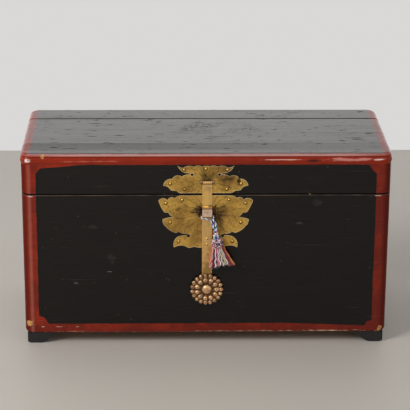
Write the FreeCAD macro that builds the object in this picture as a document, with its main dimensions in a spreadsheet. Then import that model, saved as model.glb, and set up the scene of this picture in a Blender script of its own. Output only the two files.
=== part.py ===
"""Lacquered wedding chest: finger-jointed carcase and lid, butterfly hasp, rear hinges, tassel."""
import FreeCAD, Part

import math
import os

import Sketcher
from FreeCAD import Placement, Rotation, Vector

doc = FreeCAD.newDocument("wedding_chest")
sheet = doc.addObject("Spreadsheet::Sheet", "Sizes")

# Driving dimensions in millimetres, angles in degrees, and counts
SIZES = {
    # carcase and lid
    "chest_width": 750,
    "chest_depth": 330,
    "carcase_height": 305,
    "lid_height": 85,
    "wall_thick": 16,
    "corner_radius": 20,
    "bottom_edge_radius": 7,
    "rim_chamfer": 1.5,
    "lid_rim_chamfer": 0.8,
    "carcase_fingers": 7,
    "lid_fingers": 3,
    "bottom_thick": 12,
    "bottom_rebate": 7,
    "bottom_play": 0.3,
    "top_thick": 22,
    "edge_run": 9,
    "edge_fall": 4.8,
    "bead_height": 15,
    "bead_rise": 1.8,
    "groove_height": 2,
    "groove_depth": 1.4,
    "front_plank_width": 75,
    "back_plank_width": 75,
    "front_plank_gap": 0.5,
    "back_plank_gap": 2.2,
    # bracket feet
    "foot_height": 23,
    "foot_length": 66,
    "foot_flat": 26,
    "foot_thick": 24,
    "foot_inset": 5,
    "foot_heel": 8,
    # butterfly plates and their nails
    "plate_thick": 1.5,
    "plate_offset": -1.5,
    "lid_plate_span": 172,
    "lid_plate_height": 58.5,
    "lid_plate_rise": 2.5,
    "lid_plate_hole_radius": 2.9,
    "front_plate_span": 192,
    "front_plate_height": 113,
    "front_plate_drop": 2.5,
    "front_plate_hole_radius": 3.4,
    "nail_head_radius": 2.6,
    "nail_head_rise": 1.4,
    "nail_shank_radius": 0.9,
    "nail_length": 10,
    "nail_play": 0.05,
    # hasp
    "hasp_offset": 1.5,
    "strap_width": 20,
    "strap_thick": 1.6,
    "strap_play": 0.35,
    "pin_rise": 26,
    "pin_radius": 1.5,
    "pin_play": 0.05,
    "bridge_drop": 37,
    "bridge_height": 16,
    "bridge_ramp": 4.5,
    "bridge_rise": 8.5,
    "eye_thick": 3,
    "eye_gap": 0.4,
    "eye_wall": 1.9,
    "tang_length": 12,
    "tang_height": 4,
    "lug_spread": 16.5,
    "lug_thick": 2.4,
    "lug_reach": 8.5,
    "lug_height": 24,
    "lug_bore_radius": 2.8,
    "lug_bore_reach": 4.1,
    "strap_length": 231,
    "strap_tail": 14,
    "rivet_rise": 1.3,
    "rivet_radius": 2.6,
    "rivet_shank_radius": 1.3,
    "upper_rivet_drop": 121.5,
    "rivet_spacing": 12,
    "rosette_radius": 34.5,
    "rosette_thick": 4.2,
    "outer_petals": 19,
    "outer_petal_radius": 4.9,
    "outer_petal_level": 1.6,
    "inner_petals": 11,
    "inner_petal_radius": 5.4,
    "inner_petal_level": 2.2,
    "inner_ring_radius": 20.3,
    "boss_radius": 10.5,
    "boss_rise": 4.8,
    "boss_shank_radius": 3,
    # rear hinges
    "hinge_spread": 225,
    "leaf_width": 64,
    "leaf_height": 46,
    "leaf_thick": 1.5,
    "leaf_nail_spread": 19,
    "barrel_length": 48,
    "barrel_radius": 3.6,
    "barrel_standoff": 4.2,
    "barrel_centre_length": 16,
    "knuckle_gap": 0.3,
    "hinge_pin_radius": 1.8,
    # tassel
    "cord_radius": 1.7,
    "tassel_lean": 10,
    "head_length": 20,
    "head_radius": 10.5,
    "head_crown_radius": 4,
    "head_neck_radius": 7.5,
    "tassel_gap": 0.3,
    "skirt_length": 46,
    "skirt_top_width": 20,
    "skirt_top_depth": 13,
    "skirt_hem_width": 52,
    "skirt_hem_depth": 17,
}
for row, (alias, value) in enumerate(SIZES.items(), start=1):
    sheet.set(f"A{row}", alias)
    sheet.set(f"B{row}", str(value))
    sheet.setAlias(f"B{row}", alias)
doc.recompute()

# Places that several pieces share, as expressions of the sheet
SEAM = "(Sizes.foot_height + Sizes.carcase_height)"
STRAP_BACK = "(Sizes.plate_thick + Sizes.strap_play)"
STRAP_FACE = f"({STRAP_BACK} + Sizes.strap_thick)"
ROLL_RADIUS = "(Sizes.strap_thick + Sizes.pin_radius + Sizes.pin_play)"
PIN_REACH = f"({STRAP_BACK} + {ROLL_RADIUS})"
FRONT_REACH = f"({STRAP_FACE} + Sizes.rosette_thick + Sizes.boss_rise)"
BACK_REACH = "(Sizes.barrel_standoff + Sizes.barrel_radius)"
CENTRE_Y = f"(({FRONT_REACH} - {BACK_REACH}) / 2)"
FRONT = f"({CENTRE_Y} - Sizes.chest_depth / 2)"
BACK = f"({CENTRE_Y} + Sizes.chest_depth / 2)"
LID_WALL_TOP = f"({SEAM} + Sizes.lid_height - Sizes.top_thick)"
ROSETTE_Z = f"({SEAM} + Sizes.pin_rise - Sizes.strap_length)"
BRIDGE_Z = f"({SEAM} - Sizes.bridge_drop)"

parts = []


def mm(expression):
    """The number that an expression of the sheet gives."""
    return float(sheet.evalExpression(expression))


def part(piece, label):
    """Keep a finished piece under the name of its file."""
    piece.Label = label
    parts.append(piece)
    return piece


def bind(piece, **expressions):
    """Bind properties of a piece to expressions of the sheet."""
    for name, expression in expressions.items():
        piece.setExpression(name, expression)
    return piece


def place(piece, x="0", y="0", z="0", rotation=Rotation()):
    """Put a piece at a point given by three expressions."""
    piece.Placement = Placement(Vector(mm(x), mm(y), mm(z)), rotation)
    for axis, expression in zip("xyz", (x, y, z)):
        piece.setExpression(f".Placement.Base.{axis}", expression)
    return piece


def block(name, size, corner):
    """A box from its three sides and its lowest corner."""
    box = doc.addObject("Part::Box", name)
    bind(box, Length=size[0], Width=size[1], Height=size[2])
    return place(box, *corner)


def join(name, pieces):
    """One shape from several."""
    fused = doc.addObject("Part::MultiFuse", name)
    fused.Shapes = pieces
    return fused


def common(name, first, second):
    """What two shapes share."""
    both = doc.addObject("Part::MultiCommon", name)
    both.Shapes = [first, second]
    return both


def cut(name, base, tools):
    """A shape with other shapes taken out of it, one after the other."""
    for number, tool in enumerate(tools):
        less = doc.addObject("Part::Cut", f"{name}_{number}")
        less.Base = base
        less.Tool = tool
        base = less
    return base


def new_body(name):
    return doc.addObject("PartDesign::Body", name)


def origin_feature(body, role):
    return next(f for f in body.Origin.OriginFeatures if f.Role == role)


def new_sketch(body, name, role):
    sketch = body.newObject("Sketcher::SketchObject", name)
    sketch.AttachmentSupport = [(origin_feature(body, role), "")]
    sketch.MapMode = "FlatFace"
    return sketch


def closed_sketch(body, name, role, corners):
    """A closed outline of lines and arcs whose corners are bound to the sheet.

    A corner is (across, up), or (across, up, radius, side) where an arc leads on to the next corner:
    side is 1 where the arc turns left as it goes and -1 where it turns right.
    """
    sketch = new_sketch(body, name, role)
    spots = [Vector(mm(corner[0]), mm(corner[1]), 0) for corner in corners]
    edges = []
    for number, corner in enumerate(corners):
        here = spots[number]
        there = spots[(number + 1) % len(spots)]
        if len(corner) == 2:
            edges.append((sketch.addGeometry(Part.LineSegment(here, there)), 1, 2))
            continue
        radius, side = mm(corner[2]), corner[3]
        chord = there - here
        left = Vector(-chord.y, chord.x, 0).normalize()
        rise = math.sqrt(max(radius**2 - chord.Length**2 / 4, 0))
        middle = (here + there) * 0.5 + left * (rise * side)
        angles = [math.atan2(p.y - middle.y, p.x - middle.x) for p in (here, there)][::side]
        circle = Part.Circle(middle, Vector(0, 0, 1), radius)
        edge = sketch.addGeometry(Part.ArcOfCircle(circle, *angles))
        edges.append((edge, 1, 2) if side == 1 else (edge, 2, 1))
        rule = sketch.addConstraint(Sketcher.Constraint("Radius", edge, radius))
        sketch.setExpression(f"Constraints[{rule}]", corner[2])
    for number, (edge, start, end) in enumerate(edges):
        following = edges[(number + 1) % len(edges)]
        sketch.addConstraint(Sketcher.Constraint("Coincident", edge, end, following[0], following[1]))
        for kind, expression, axis in zip(("DistanceX", "DistanceY"), corners[number], (-2, -1)):
            if expression == "0":
                sketch.addConstraint(Sketcher.Constraint("PointOnObject", edge, start, axis))
                continue
            rule = sketch.addConstraint(
                Sketcher.Constraint(kind, -1, 1, edge, start, mm(expression))
            )
            sketch.setExpression(f"Constraints[{rule}]", expression)
    return sketch


def pad(body, name, sketch, length, reverse=False):
    solid = body.newObject("PartDesign::Pad", name)
    solid.Profile = sketch
    solid.Reversed = reverse
    return bind(solid, Length=length)


def cylinder_feature(body, name, kind, radius, height, at, rotation):
    """A round boss ("Additive") or bore ("Subtractive") of a body."""
    solid = body.newObject(f"PartDesign::{kind}Cylinder", name)
    bind(solid, Radius=radius, Height=height)
    return place(solid, *at, rotation)


def box_feature(body, name, kind, size, at):
    solid = body.newObject(f"PartDesign::{kind}Box", name)
    bind(solid, Length=size[0], Width=size[1], Height=size[2])
    return place(solid, *at)


def edges_where(shape, test):
    return [f"Edge{n}" for n, edge in enumerate(shape.Edges, start=1) if test(edge)]


def level(z):
    """A test for edges that lie flat at one height."""
    return lambda edge: all(abs(v.Point.z - z) < 1e-6 for v in edge.Vertexes)


def upright(edge):
    ends = [v.Point for v in edge.Vertexes]
    return abs(ends[0].z - ends[1].z) > 1e-6


def dress(body, name, kind, base, edges, **sizes):
    """A fillet or chamfer on some edges of a feature."""
    feature = body.newObject(f"PartDesign::{kind}", name)
    feature.Base = (base, edges)
    bind(feature, **sizes)
    doc.recompute()
    return feature


ALONG_X = Rotation(Vector(0, 1, 0), 90)
OUTWARD = Rotation(Vector(1, 0, 0), 90)


# The chest's plan with rounded corners, which every board is cut from


def rounded_form(name, base_z, height, low=None, high=None):
    """A block of the chest's plan; low and high are (kind, size name, size) for its outer edges."""
    body = new_body(name)
    half_width, half_depth = "Sizes.chest_width / 2", "Sizes.chest_depth / 2"
    plan = closed_sketch(body, f"{name}_plan", "XY_Plane", [
        (f"-{half_width}", f"-{half_depth}"),
        (half_width, f"-{half_depth}"),
        (half_width, half_depth),
        (f"-{half_width}", half_depth),
    ])
    shape = pad(body, f"{name}_pad", plan, height)
    doc.recompute()
    shape = dress(body, f"{name}_corners", "Fillet", shape,
                  edges_where(shape.Shape, upright), Radius="Sizes.corner_radius")
    for end, z in ((low, "0"), (high, height)):
        if end:
            kind, prop, size = end
            shape = dress(body, f"{name}_{kind}_{len(z)}", kind, shape,
                          edges_where(shape.Shape, level(mm(z))), **{prop: size})
    return place(body, "0", CENTRE_Y, base_z)


def finger_blocks(name, base_z, height, count):
    """The blocks of wood at the four corners, one per finger, as even and odd sets."""
    fingers = int(mm(count))
    step = f"({height} / {count})"
    thick = "Sizes.wall_thick"
    sets = ([], [])
    for finger in range(fingers):
        for side, x in enumerate(("-Sizes.chest_width / 2", f"Sizes.chest_width / 2 - {thick}")):
            for end, y in enumerate((FRONT, f"{BACK} - {thick}")):
                sets[finger % 2].append(block(
                    f"{name}_{finger}_{side}{end}", (thick, thick, step),
                    (x, y, f"{base_z} + {step} * {finger}")))
    return [join(f"{name}_{kind}", blocks) for kind, blocks in zip(("even", "odd"), sets)]


def four_walls(name, base_z, height, count, form, cutters):
    """Front, back and two ends, finger-jointed at the corners.

    The front and back keep the even fingers and the ends the odd ones.
    """
    even, odd = finger_blocks(f"{name}_fingers", base_z, height, count)
    thick = "Sizes.wall_thick"
    long_side = ("Sizes.chest_width", thick, height)
    short_side = (thick, "Sizes.chest_depth", height)
    left = "-Sizes.chest_width / 2"
    slabs = {
        "front": (long_side, (left, FRONT, base_z), odd),
        "back": (long_side, (left, f"{BACK} - {thick}", base_z), odd),
        "left_end": (short_side, (left, FRONT, base_z), even),
        "right_end": (short_side, (f"Sizes.chest_width / 2 - {thick}", FRONT, base_z), even),
    }
    for side, (size, corner, fingers) in slabs.items():
        label = f"{name}_{side}"
        slab = common(f"{label}_blank", form, block(f"{label}_slab", size, corner))
        part(cut(label, slab, [fingers] + cutters.get(side, []) + cutters.get("all", [])), label)


# Butterfly plates: scalloped outlines of arcs from cusp to cusp

# Each row is (share of the half span, share of the height, bow of the edge that follows).
# The bow is the arc's rise over its chord: above zero it swells out, below zero it is hollow.
LID_PLATE_EDGE = [
    (0.0, 0.985, 0.10), (0.094, 0.962, 0.15), (0.278, 0.955, 0.15), (0.530, 0.915, -0.05),
    (0.668, 0.992, 0.10), (0.477, 0.725, -0.12), (0.345, 0.672, 0.10), (0.565, 0.600, 0.24),
    (0.790, 0.517, 0.22), (1.0, 0.268, -0.15), (0.828, 0.112, 0.05), (0.690, 0.085, 0.10),
    (0.584, 0.0, 0.0), (0.0, 0.0, 0.0),
]
FRONT_PLATE_EDGE = [
    (0.0, 0.0, 0.0), (0.523, 0.0, 0.12), (0.654, 0.054, 0.28), (0.802, 0.087, 0.24),
    (1.0, 0.099, 0.04), (0.882, 0.311, 0.18), (0.791, 0.318, 0.17), (0.654, 0.404, 0.04),
    (0.910, 0.452, 0.14), (0.852, 0.583, 0.08), (0.639, 0.713, 0.06), (0.563, 0.689, 0.14),
    (0.390, 0.722, 0.0), (0.370, 0.760, 0.06), (0.563, 0.779, 0.20), (0.671, 0.994, -0.16),
    (0.374, 0.998, 0.08), (0.243, 0.977, 0.08), (0.0, 0.985, 0.0),
]
LID_PLATE_NAILS = [(0.510, 0.844), (0.833, 0.342), (0.496, 0.141)]
LID_PLATE_CROWN_NAIL = (0.0, 0.881)
LID_PLATE_HOLE = (0.321, 0.669)
FRONT_PLATE_NAILS = [(0.843, 0.146), (0.497, 0.082), (0.748, 0.513), (0.574, 0.880)]
FRONT_PLATE_HOLE = (0.363, 0.771)


class ButterflyPlate:
    """A sheet plate on the chest's front, from an outline given for its left half."""

    def __init__(self, name, edge, span, height, base_z, upward):
        self.name = name
        self.edge = edge
        self.half_span = mm(span) / 2
        self.height = mm(height) * (1 if upward else -1)
        self.base_z = mm(base_z)
        self.middle_x = mm("Sizes.plate_offset")
        self.front = mm(FRONT)

    def spot(self, across, up, side=-1):
        x = self.middle_x + side * across * self.half_span
        return Vector(x, self.front, self.base_z + up * self.height)

    def pair(self, spots):
        """The same spots on both halves."""
        return [self.spot(*spot, side) for spot in spots for side in (-1, 1)]

    def outline(self):
        edges = []
        for side in (-1, 1):
            for (ax, ay, bow), (bx, by, _) in zip(self.edge, self.edge[1:]):
                start, end = self.spot(ax, ay, side), self.spot(bx, by, side)
                if not bow:
                    edges.append(Part.LineSegment(start, end).toShape())
                    continue
                chord = end - start
                outward = Vector(chord.z, 0, -chord.x) * (bow * -side)
                middle = (start + end) * 0.5 + outward
                edges.append(Part.Arc(start, middle, end).toShape())
        return Part.Wire(Part.__sortEdges__(edges))

    def shape(self, holes, hole_radius, nails, slots):
        thick = mm("Sizes.plate_thick")
        plate = Part.Face(self.outline()).extrude(Vector(0, -thick, 0))
        outward = Vector(0, -1, 0)
        bore = mm("Sizes.nail_shank_radius + Sizes.nail_play")
        tools = [Part.makeCylinder(hole_radius, thick, spot, outward) for spot in holes]
        tools += [Part.makeCylinder(bore, thick, spot, outward) for spot in nails]
        return plate.cut(tools + slots)


def fixed(name, shape):
    """A piece whose shape is worked out in full from the sheet."""
    feature = doc.addObject("Part::Feature", name)
    feature.Shape = shape
    feature.Placement = Placement()
    return part(feature, name)


def nail(seat, outward):
    """A dome-headed nail whose head sits on a point and whose shank runs the other way."""
    head, rise = mm("Sizes.nail_head_radius"), mm("Sizes.nail_head_rise")
    shank, length = mm("Sizes.nail_shank_radius"), mm("Sizes.nail_length")
    dome = (head**2 + rise**2) / (2 * rise)
    lean = math.asin(head / dome) / 2
    crown = Vector(0, 0, rise)
    shoulder = Vector(dome * math.sin(lean), 0, rise - dome * (1 - math.cos(lean)))
    rim, neck = Vector(head, 0, 0), Vector(shank, 0, 0)
    foot, tip = Vector(shank, 0, 2 * shank - length), Vector(0, 0, -length)
    edges = [Part.Arc(crown, shoulder, rim).toShape()]
    runs = [(rim, neck), (neck, foot), (foot, tip), (tip, crown)]
    edges += [Part.LineSegment(*run).toShape() for run in runs]
    solid = Part.Face(Part.Wire(edges)).revolve(Vector(), Vector(0, 0, 1), 360)
    solid.Placement = Placement(seat, Rotation(Vector(0, 0, 1), outward))
    return solid


def nail_group(name, plate_seats, outward):
    """Nails through a sheet: the seats are on the wood, so the heads sit a sheet's thickness out."""
    lift = outward * mm("Sizes.plate_thick")
    return fixed(name, Part.makeCompound([nail(seat + lift, outward) for seat in plate_seats]))


def nail_holes(name, seats, outward):
    """The holes that a group of nails needs in the wood behind it."""
    radius = mm("Sizes.nail_shank_radius + Sizes.nail_play")
    depth = mm("Sizes.nail_length - Sizes.plate_thick + Sizes.nail_play")
    holes = doc.addObject("Part::Feature", name)
    holes.Shape = Part.makeCompound(
        [Part.makeCylinder(radius, depth, seat, outward * -1) for seat in seats])
    return holes


lid_plate = ButterflyPlate("lid_plate", LID_PLATE_EDGE, "Sizes.lid_plate_span",
                           "Sizes.lid_plate_height", f"{SEAM} + Sizes.lid_plate_rise", True)
front_plate = ButterflyPlate("front_plate", FRONT_PLATE_EDGE, "Sizes.front_plate_span",
                             "Sizes.front_plate_height", f"{SEAM} - Sizes.front_plate_drop", False)
lid_nails = lid_plate.pair(LID_PLATE_NAILS) + [lid_plate.spot(*LID_PLATE_CROWN_NAIL)]
front_nails = front_plate.pair(FRONT_PLATE_NAILS)

# Hasp eyes on the lid and lock lugs on the carcase: their tangs pass through plate and board

EYE_X = "(Sizes.strap_width / 2 + Sizes.eye_gap)"
EYE_LEFT = {
    "left": f"(Sizes.hasp_offset - {EYE_X} - Sizes.eye_thick)",
    "right": f"(Sizes.hasp_offset + {EYE_X})",
}
LUG_LEFT = {
    "left": "(Sizes.hasp_offset - Sizes.lug_spread - Sizes.lug_thick / 2)",
    "right": "(Sizes.hasp_offset + Sizes.lug_spread - Sizes.lug_thick / 2)",
}
PIN_Z = f"({SEAM} + Sizes.pin_rise)"
TANG = "(Sizes.plate_thick + Sizes.tang_length)"


def tang_slot(name, x, thick, z):
    """The slot that a tang fills, through the plate and into the board."""
    return block(name, (thick, TANG, "Sizes.tang_height"),
                 (x, f"{FRONT} - Sizes.plate_thick", f"{z} - Sizes.tang_height / 2"))


eye_slots = [tang_slot(f"eye_slot_{side}", x, "Sizes.eye_thick", PIN_Z)
             for side, x in EYE_LEFT.items()]
lug_slots = [tang_slot(f"lug_slot_{side}", x, "Sizes.lug_thick", BRIDGE_Z)
             for side, x in LUG_LEFT.items()]

# Rear hinges: where the leaves are nailed

HINGE_X = {"left": "-Sizes.hinge_spread", "right": "Sizes.hinge_spread"}
LEAF_GAP = "(Sizes.barrel_radius + Sizes.knuckle_gap)"


def leaf_nail_seats(up):
    """Three nails a leaf, on the back of the lid (up is 1) or of the carcase (up is -1)."""
    spread = mm("Sizes.leaf_nail_spread")
    near, far = mm(f"{LEAF_GAP} + Sizes.leaf_height / 4"), mm("Sizes.leaf_height * 0.78")
    rows = [(-spread, near), (spread, near), (0, far)]
    return [Vector(mm(x) + dx, mm(BACK), mm(SEAM) + up * dz)
            for x in HINGE_X.values() for dx, dz in rows]


lid_hinge_seats, carcase_hinge_seats = leaf_nail_seats(1), leaf_nail_seats(-1)
TO_FRONT, TO_BACK = Vector(0, -1, 0), Vector(0, 1, 0)
doc.recompute()

# Carcase: four walls, a bottom of two planks let into a rebate, four bracket feet

carcase_form = rounded_form(
    "carcase_form", "Sizes.foot_height", "Sizes.carcase_height",
    ("Fillet", "Radius", "Sizes.bottom_edge_radius"), ("Chamfer", "Size", "Sizes.rim_chamfer"))
INSET = "(Sizes.wall_thick - Sizes.bottom_rebate)"
rebate = block("bottom_rebate_cut", (
    f"Sizes.chest_width - 2 * {INSET}", f"Sizes.chest_depth - 2 * {INSET}", "Sizes.bottom_thick",
), (f"{INSET} - Sizes.chest_width / 2", f"{FRONT} + {INSET}", "Sizes.foot_height"))
four_walls("carcase", "Sizes.foot_height", "Sizes.carcase_height", "Sizes.carcase_fingers",
           carcase_form, {
               "all": [rebate],
               "front": lug_slots + [nail_holes("front_nail_holes", front_nails, TO_FRONT)],
               "back": [nail_holes("carcase_hinge_holes", carcase_hinge_seats, TO_BACK)],
           })

PLANK_DEPTH = f"(Sizes.chest_depth / 2 - {INSET} - Sizes.bottom_play * 1.5)"
for side, y in (("front", f"{FRONT} + {INSET} + Sizes.bottom_play"),
                ("back", f"{CENTRE_Y} + Sizes.bottom_play / 2")):
    plank = block(f"bottom_plank_{side}", (
        f"Sizes.chest_width - 2 * {INSET} - 2 * Sizes.bottom_play", PLANK_DEPTH,
        "Sizes.bottom_thick",
    ), (f"{INSET} + Sizes.bottom_play - Sizes.chest_width / 2", y, "Sizes.foot_height"))
    part(plank, f"bottom_plank_{side}")


def bracket_foot(label, x, y, quarter_turns):
    """A corner bracket of two equal arms, each with a rounded heel and a swept-up toe."""
    body = new_body(label)
    arm = [
        ("0", "Sizes.foot_height"),
        ("0", "Sizes.foot_heel", "Sizes.foot_heel", 1),
        ("Sizes.foot_heel", "0"),
        ("Sizes.foot_flat", "0", "Sizes.foot_height * 1.5", 1),
        ("(Sizes.foot_flat + Sizes.foot_length) / 2", "Sizes.foot_height / 2",
         "Sizes.foot_height * 1.5", -1),
        ("Sizes.foot_length", "Sizes.foot_height"),
    ]
    front = closed_sketch(body, f"{label}_front", "XZ_Plane", arm)
    pad(body, f"{label}_front_arm", front, "Sizes.foot_thick", reverse=True)
    side = closed_sketch(body, f"{label}_side", "YZ_Plane", arm)
    pad(body, f"{label}_side_arm", side, "Sizes.foot_thick")
    place(body, x, y, "0", Rotation(Vector(0, 0, 1), 90 * quarter_turns))
    return part(body, label)


FOOT_X = "(Sizes.chest_width / 2 - Sizes.foot_inset)"
FOOT_FRONT = f"({FRONT} + Sizes.foot_inset)"
FOOT_BACK = f"({BACK} - Sizes.foot_inset)"
bracket_foot("foot_front_left", f"-{FOOT_X}", FOOT_FRONT, 0)
bracket_foot("foot_front_right", FOOT_X, FOOT_FRONT, 1)
bracket_foot("foot_back_right", FOOT_X, FOOT_BACK, 2)
bracket_foot("foot_back_left", f"-{FOOT_X}", FOOT_BACK, 3)

# Lid: four low walls and three planks over them

lid_form = rounded_form("lid_form", SEAM, "(Sizes.lid_height - Sizes.top_thick)",
                        ("Chamfer", "Size", "Sizes.lid_rim_chamfer"))
four_walls("lid", SEAM, "(Sizes.lid_height - Sizes.top_thick)", "Sizes.lid_fingers", lid_form, {
    "front": eye_slots + [nail_holes("lid_nail_holes", lid_nails, TO_FRONT)],
    "back": [nail_holes("lid_hinge_holes", lid_hinge_seats, TO_BACK)],
})
top_block = rounded_form("top_block", LID_WALL_TOP, "Sizes.top_thick")
doc.recompute()


def carried_round(name, start, runs):
    """A closed section carried round the lid's plan, by straight runs to a point and arcs through one.

    A point is its distance in from the lid's front and its height over the lid's walls.
    """
    front, low = mm(FRONT), mm(LID_WALL_TOP)
    edges, here = [], Vector(0, front + start[0], low + start[1])
    for run in runs + [[start]]:
        ends = [Vector(0, front + inward, low + up) for inward, up in run]
        kind = Part.Arc if len(ends) == 2 else Part.LineSegment
        edges.append(kind(here, *ends).toShape())
        here = ends[-1]
    foot = next(face for face in top_block.Shape.Faces if abs(face.BoundBox.ZMax - low) < 1e-6)
    feature = doc.addObject("Part::Feature", name)
    feature.Shape = Part.Solid(foot.OuterWire.makePipeShell([Part.Wire(edges)], True, True))
    return feature


# The lid's edge: its face falls away in an arc to a groove, and swells as a bead under it
LID_FACE, BEAD_TOP = mm("Sizes.top_thick"), mm("Sizes.bead_height")
RUN, FALL = mm("Sizes.edge_run"), mm("Sizes.edge_fall")
ARRIS = (RUN ** 2 + FALL ** 2) / (2 * FALL)
HALF_TURN = math.asin(RUN / ARRIS) / 2
GROOVE_TOP, GROOVE_DEPTH = BEAD_TOP + mm("Sizes.groove_height"), mm("Sizes.groove_depth")
BEAD_ROOT = mm("Sizes.corner_radius / 4")
bead = carried_round("top_bead", (0, 0), [
    [(-mm("Sizes.bead_rise"), BEAD_TOP / 2), (0, BEAD_TOP)], [(BEAD_ROOT, BEAD_TOP)], [(BEAD_ROOT, 0)]])
groove = carried_round("top_groove", (-1, BEAD_TOP), [
    [(GROOVE_DEPTH, BEAD_TOP + 0.3)], [(GROOVE_DEPTH, GROOVE_TOP - 0.3)], [(-1, GROOVE_TOP)]])
arris = carried_round("top_arris", (RUN, LID_FACE + 1), [
    [(RUN, LID_FACE)],
    [(RUN - ARRIS * math.sin(HALF_TURN), LID_FACE - ARRIS * (1 - math.cos(HALF_TURN))), (0, LID_FACE - FALL)],
    [(-1, LID_FACE - FALL)], [(-1, LID_FACE + 1)]])
top_form = cut("top_form", join("top_full", [top_block, bead]), [groove, arris])
MIDDLE_DEPTH = ("(Sizes.chest_depth - Sizes.front_plank_width - Sizes.back_plank_width"
                " - Sizes.front_plank_gap - Sizes.back_plank_gap)")
TOP_PLANKS = {
    "front": (f"{FRONT} - Sizes.bead_rise", "Sizes.front_plank_width + Sizes.bead_rise"),
    "middle": (f"{FRONT} + Sizes.front_plank_width + Sizes.front_plank_gap", MIDDLE_DEPTH),
    "back": (f"{BACK} - Sizes.back_plank_width", "Sizes.back_plank_width + Sizes.bead_rise"),
}
for side, (y, depth) in TOP_PLANKS.items():
    strip = block(f"top_strip_{side}",
                  ("Sizes.chest_width + 2 * Sizes.bead_rise", depth, "Sizes.top_thick"),
                  ("-Sizes.chest_width / 2 - Sizes.bead_rise", y, LID_WALL_TOP))
    part(common(f"top_plank_{side}", top_form, strip), f"lid_top_plank_{side}")

# Plates and nails

doc.recompute()
fixed("lid_plate", lid_plate.shape(
    lid_plate.pair([LID_PLATE_HOLE]), mm("Sizes.lid_plate_hole_radius"), lid_nails,
    [slot.Shape for slot in eye_slots]))
fixed("front_plate", front_plate.shape(
    front_plate.pair([FRONT_PLATE_HOLE]), mm("Sizes.front_plate_hole_radius"), front_nails,
    [slot.Shape for slot in lug_slots]))
nail_group("lid_plate_nails", lid_nails, TO_FRONT)
nail_group("front_plate_nails", front_nails, TO_FRONT)

# Hasp eyes and pin

for side, x in EYE_LEFT.items():
    eye = new_body(f"hasp_eye_{side}")
    rim = "(Sizes.pin_radius + Sizes.pin_play + Sizes.eye_wall)"
    cylinder_feature(eye, f"eye_ring_{side}", "Additive", rim, "Sizes.eye_thick",
                     ("0", f"-{PIN_REACH}", "0"), ALONG_X)
    box_feature(eye, f"eye_tang_{side}", "Additive",
                ("Sizes.eye_thick", f"{PIN_REACH} + Sizes.tang_length", "Sizes.tang_height"),
                ("0", f"-{PIN_REACH}", "-Sizes.tang_height / 2"))
    cylinder_feature(eye, f"eye_bore_{side}", "Subtractive",
                     "(Sizes.pin_radius + Sizes.pin_play)", "Sizes.eye_thick",
                     ("0", f"-{PIN_REACH}", "0"), ALONG_X)
    part(place(eye, x, FRONT, PIN_Z), f"hasp_eye_{side}")

PIN_HALF = f"({EYE_X} + Sizes.eye_thick + Sizes.eye_gap)"
pin = doc.addObject("Part::Cylinder", "hasp_pin")
bind(pin, Radius="Sizes.pin_radius", Height=f"2 * {PIN_HALF}")
part(place(pin, f"Sizes.hasp_offset - {PIN_HALF}", f"{FRONT} - {PIN_REACH}", PIN_Z, ALONG_X),
     "hasp_pin")

# Lock lugs

for side, x in LUG_LEFT.items():
    lug = new_body(f"lock_lug_{side}")
    half, root = "Sizes.lug_height / 2", "Sizes.plate_thick"
    tip = "(Sizes.plate_thick + Sizes.lug_reach)"
    curve = closed_sketch(lug, f"lug_outline_{side}", "YZ_Plane", [
        (f"-{root}", half),
        (f"-{root}", f"-{half}", "Sizes.lug_reach", -1),
        (f"-{tip}", f"Sizes.lug_reach - {half}"),
        (f"-{tip}", f"{half} - Sizes.lug_reach", "Sizes.lug_reach", -1),
    ])
    pad(lug, f"lug_cheek_{side}", curve, "Sizes.lug_thick")
    box_feature(lug, f"lug_tang_{side}", "Additive",
                ("Sizes.lug_thick", TANG, "Sizes.tang_height"),
                ("0", f"-{root}", "-Sizes.tang_height / 2"))
    cylinder_feature(lug, f"lug_bore_{side}", "Subtractive", "Sizes.lug_bore_radius",
                     "Sizes.lug_thick", ("0", f"-({root} + Sizes.lug_bore_reach)", "0"), ALONG_X)
    part(place(lug, x, FRONT, BRIDGE_Z), f"lock_lug_{side}")

# Hasp strap: rolled round its pin, bowed out as a bridge for the lock bar, straight to the rosette

strap = new_body("hasp_strap")
BRIDGE_FACE = f"({STRAP_FACE} + Sizes.bridge_rise)"
BRIDGE_BACK = f"({BRIDGE_FACE} - Sizes.strap_thick)"
HALF_BRIDGE = "Sizes.bridge_height / 2"
BEND = "(Sizes.strap_thick * tan(atan(Sizes.bridge_rise / Sizes.bridge_ramp) / 2))"
FROM_PIN = "(Sizes.pin_rise + Sizes.bridge_drop)"
STRAP_END = "-(Sizes.strap_length + Sizes.strap_tail)"


def bridge_level(half, offset):
    """A height on the bridge, from the pin: half is 1 above its middle and -1 below it."""
    return f"{half} * ({HALF_BRIDGE} + {offset}) - {FROM_PIN}"


side_view = closed_sketch(strap, "strap_side", "YZ_Plane", [
    (f"-{STRAP_FACE}", "0"),
    (f"-{STRAP_FACE}", bridge_level(1, "Sizes.bridge_ramp")),
    (f"-{BRIDGE_FACE}", bridge_level(1, "0")),
    (f"-{BRIDGE_FACE}", bridge_level(-1, "0")),
    (f"-{STRAP_FACE}", bridge_level(-1, "Sizes.bridge_ramp")),
    (f"-{STRAP_FACE}", STRAP_END),
    (f"-{STRAP_BACK}", STRAP_END),
    (f"-{STRAP_BACK}", bridge_level(-1, f"Sizes.bridge_ramp - {BEND}")),
    (f"-{BRIDGE_BACK}", bridge_level(-1, f"0 - {BEND}")),
    (f"-{BRIDGE_BACK}", bridge_level(1, f"0 - {BEND}")),
    (f"-{STRAP_BACK}", bridge_level(1, f"Sizes.bridge_ramp - {BEND}")),
    (f"-{STRAP_BACK}", "0"),
])
pad(strap, "strap_sheet", side_view, "Sizes.strap_width")
cylinder_feature(strap, "strap_roll", "Additive", ROLL_RADIUS, "Sizes.strap_width",
                 ("0", f"-{PIN_REACH}", "0"), ALONG_X)
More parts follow.
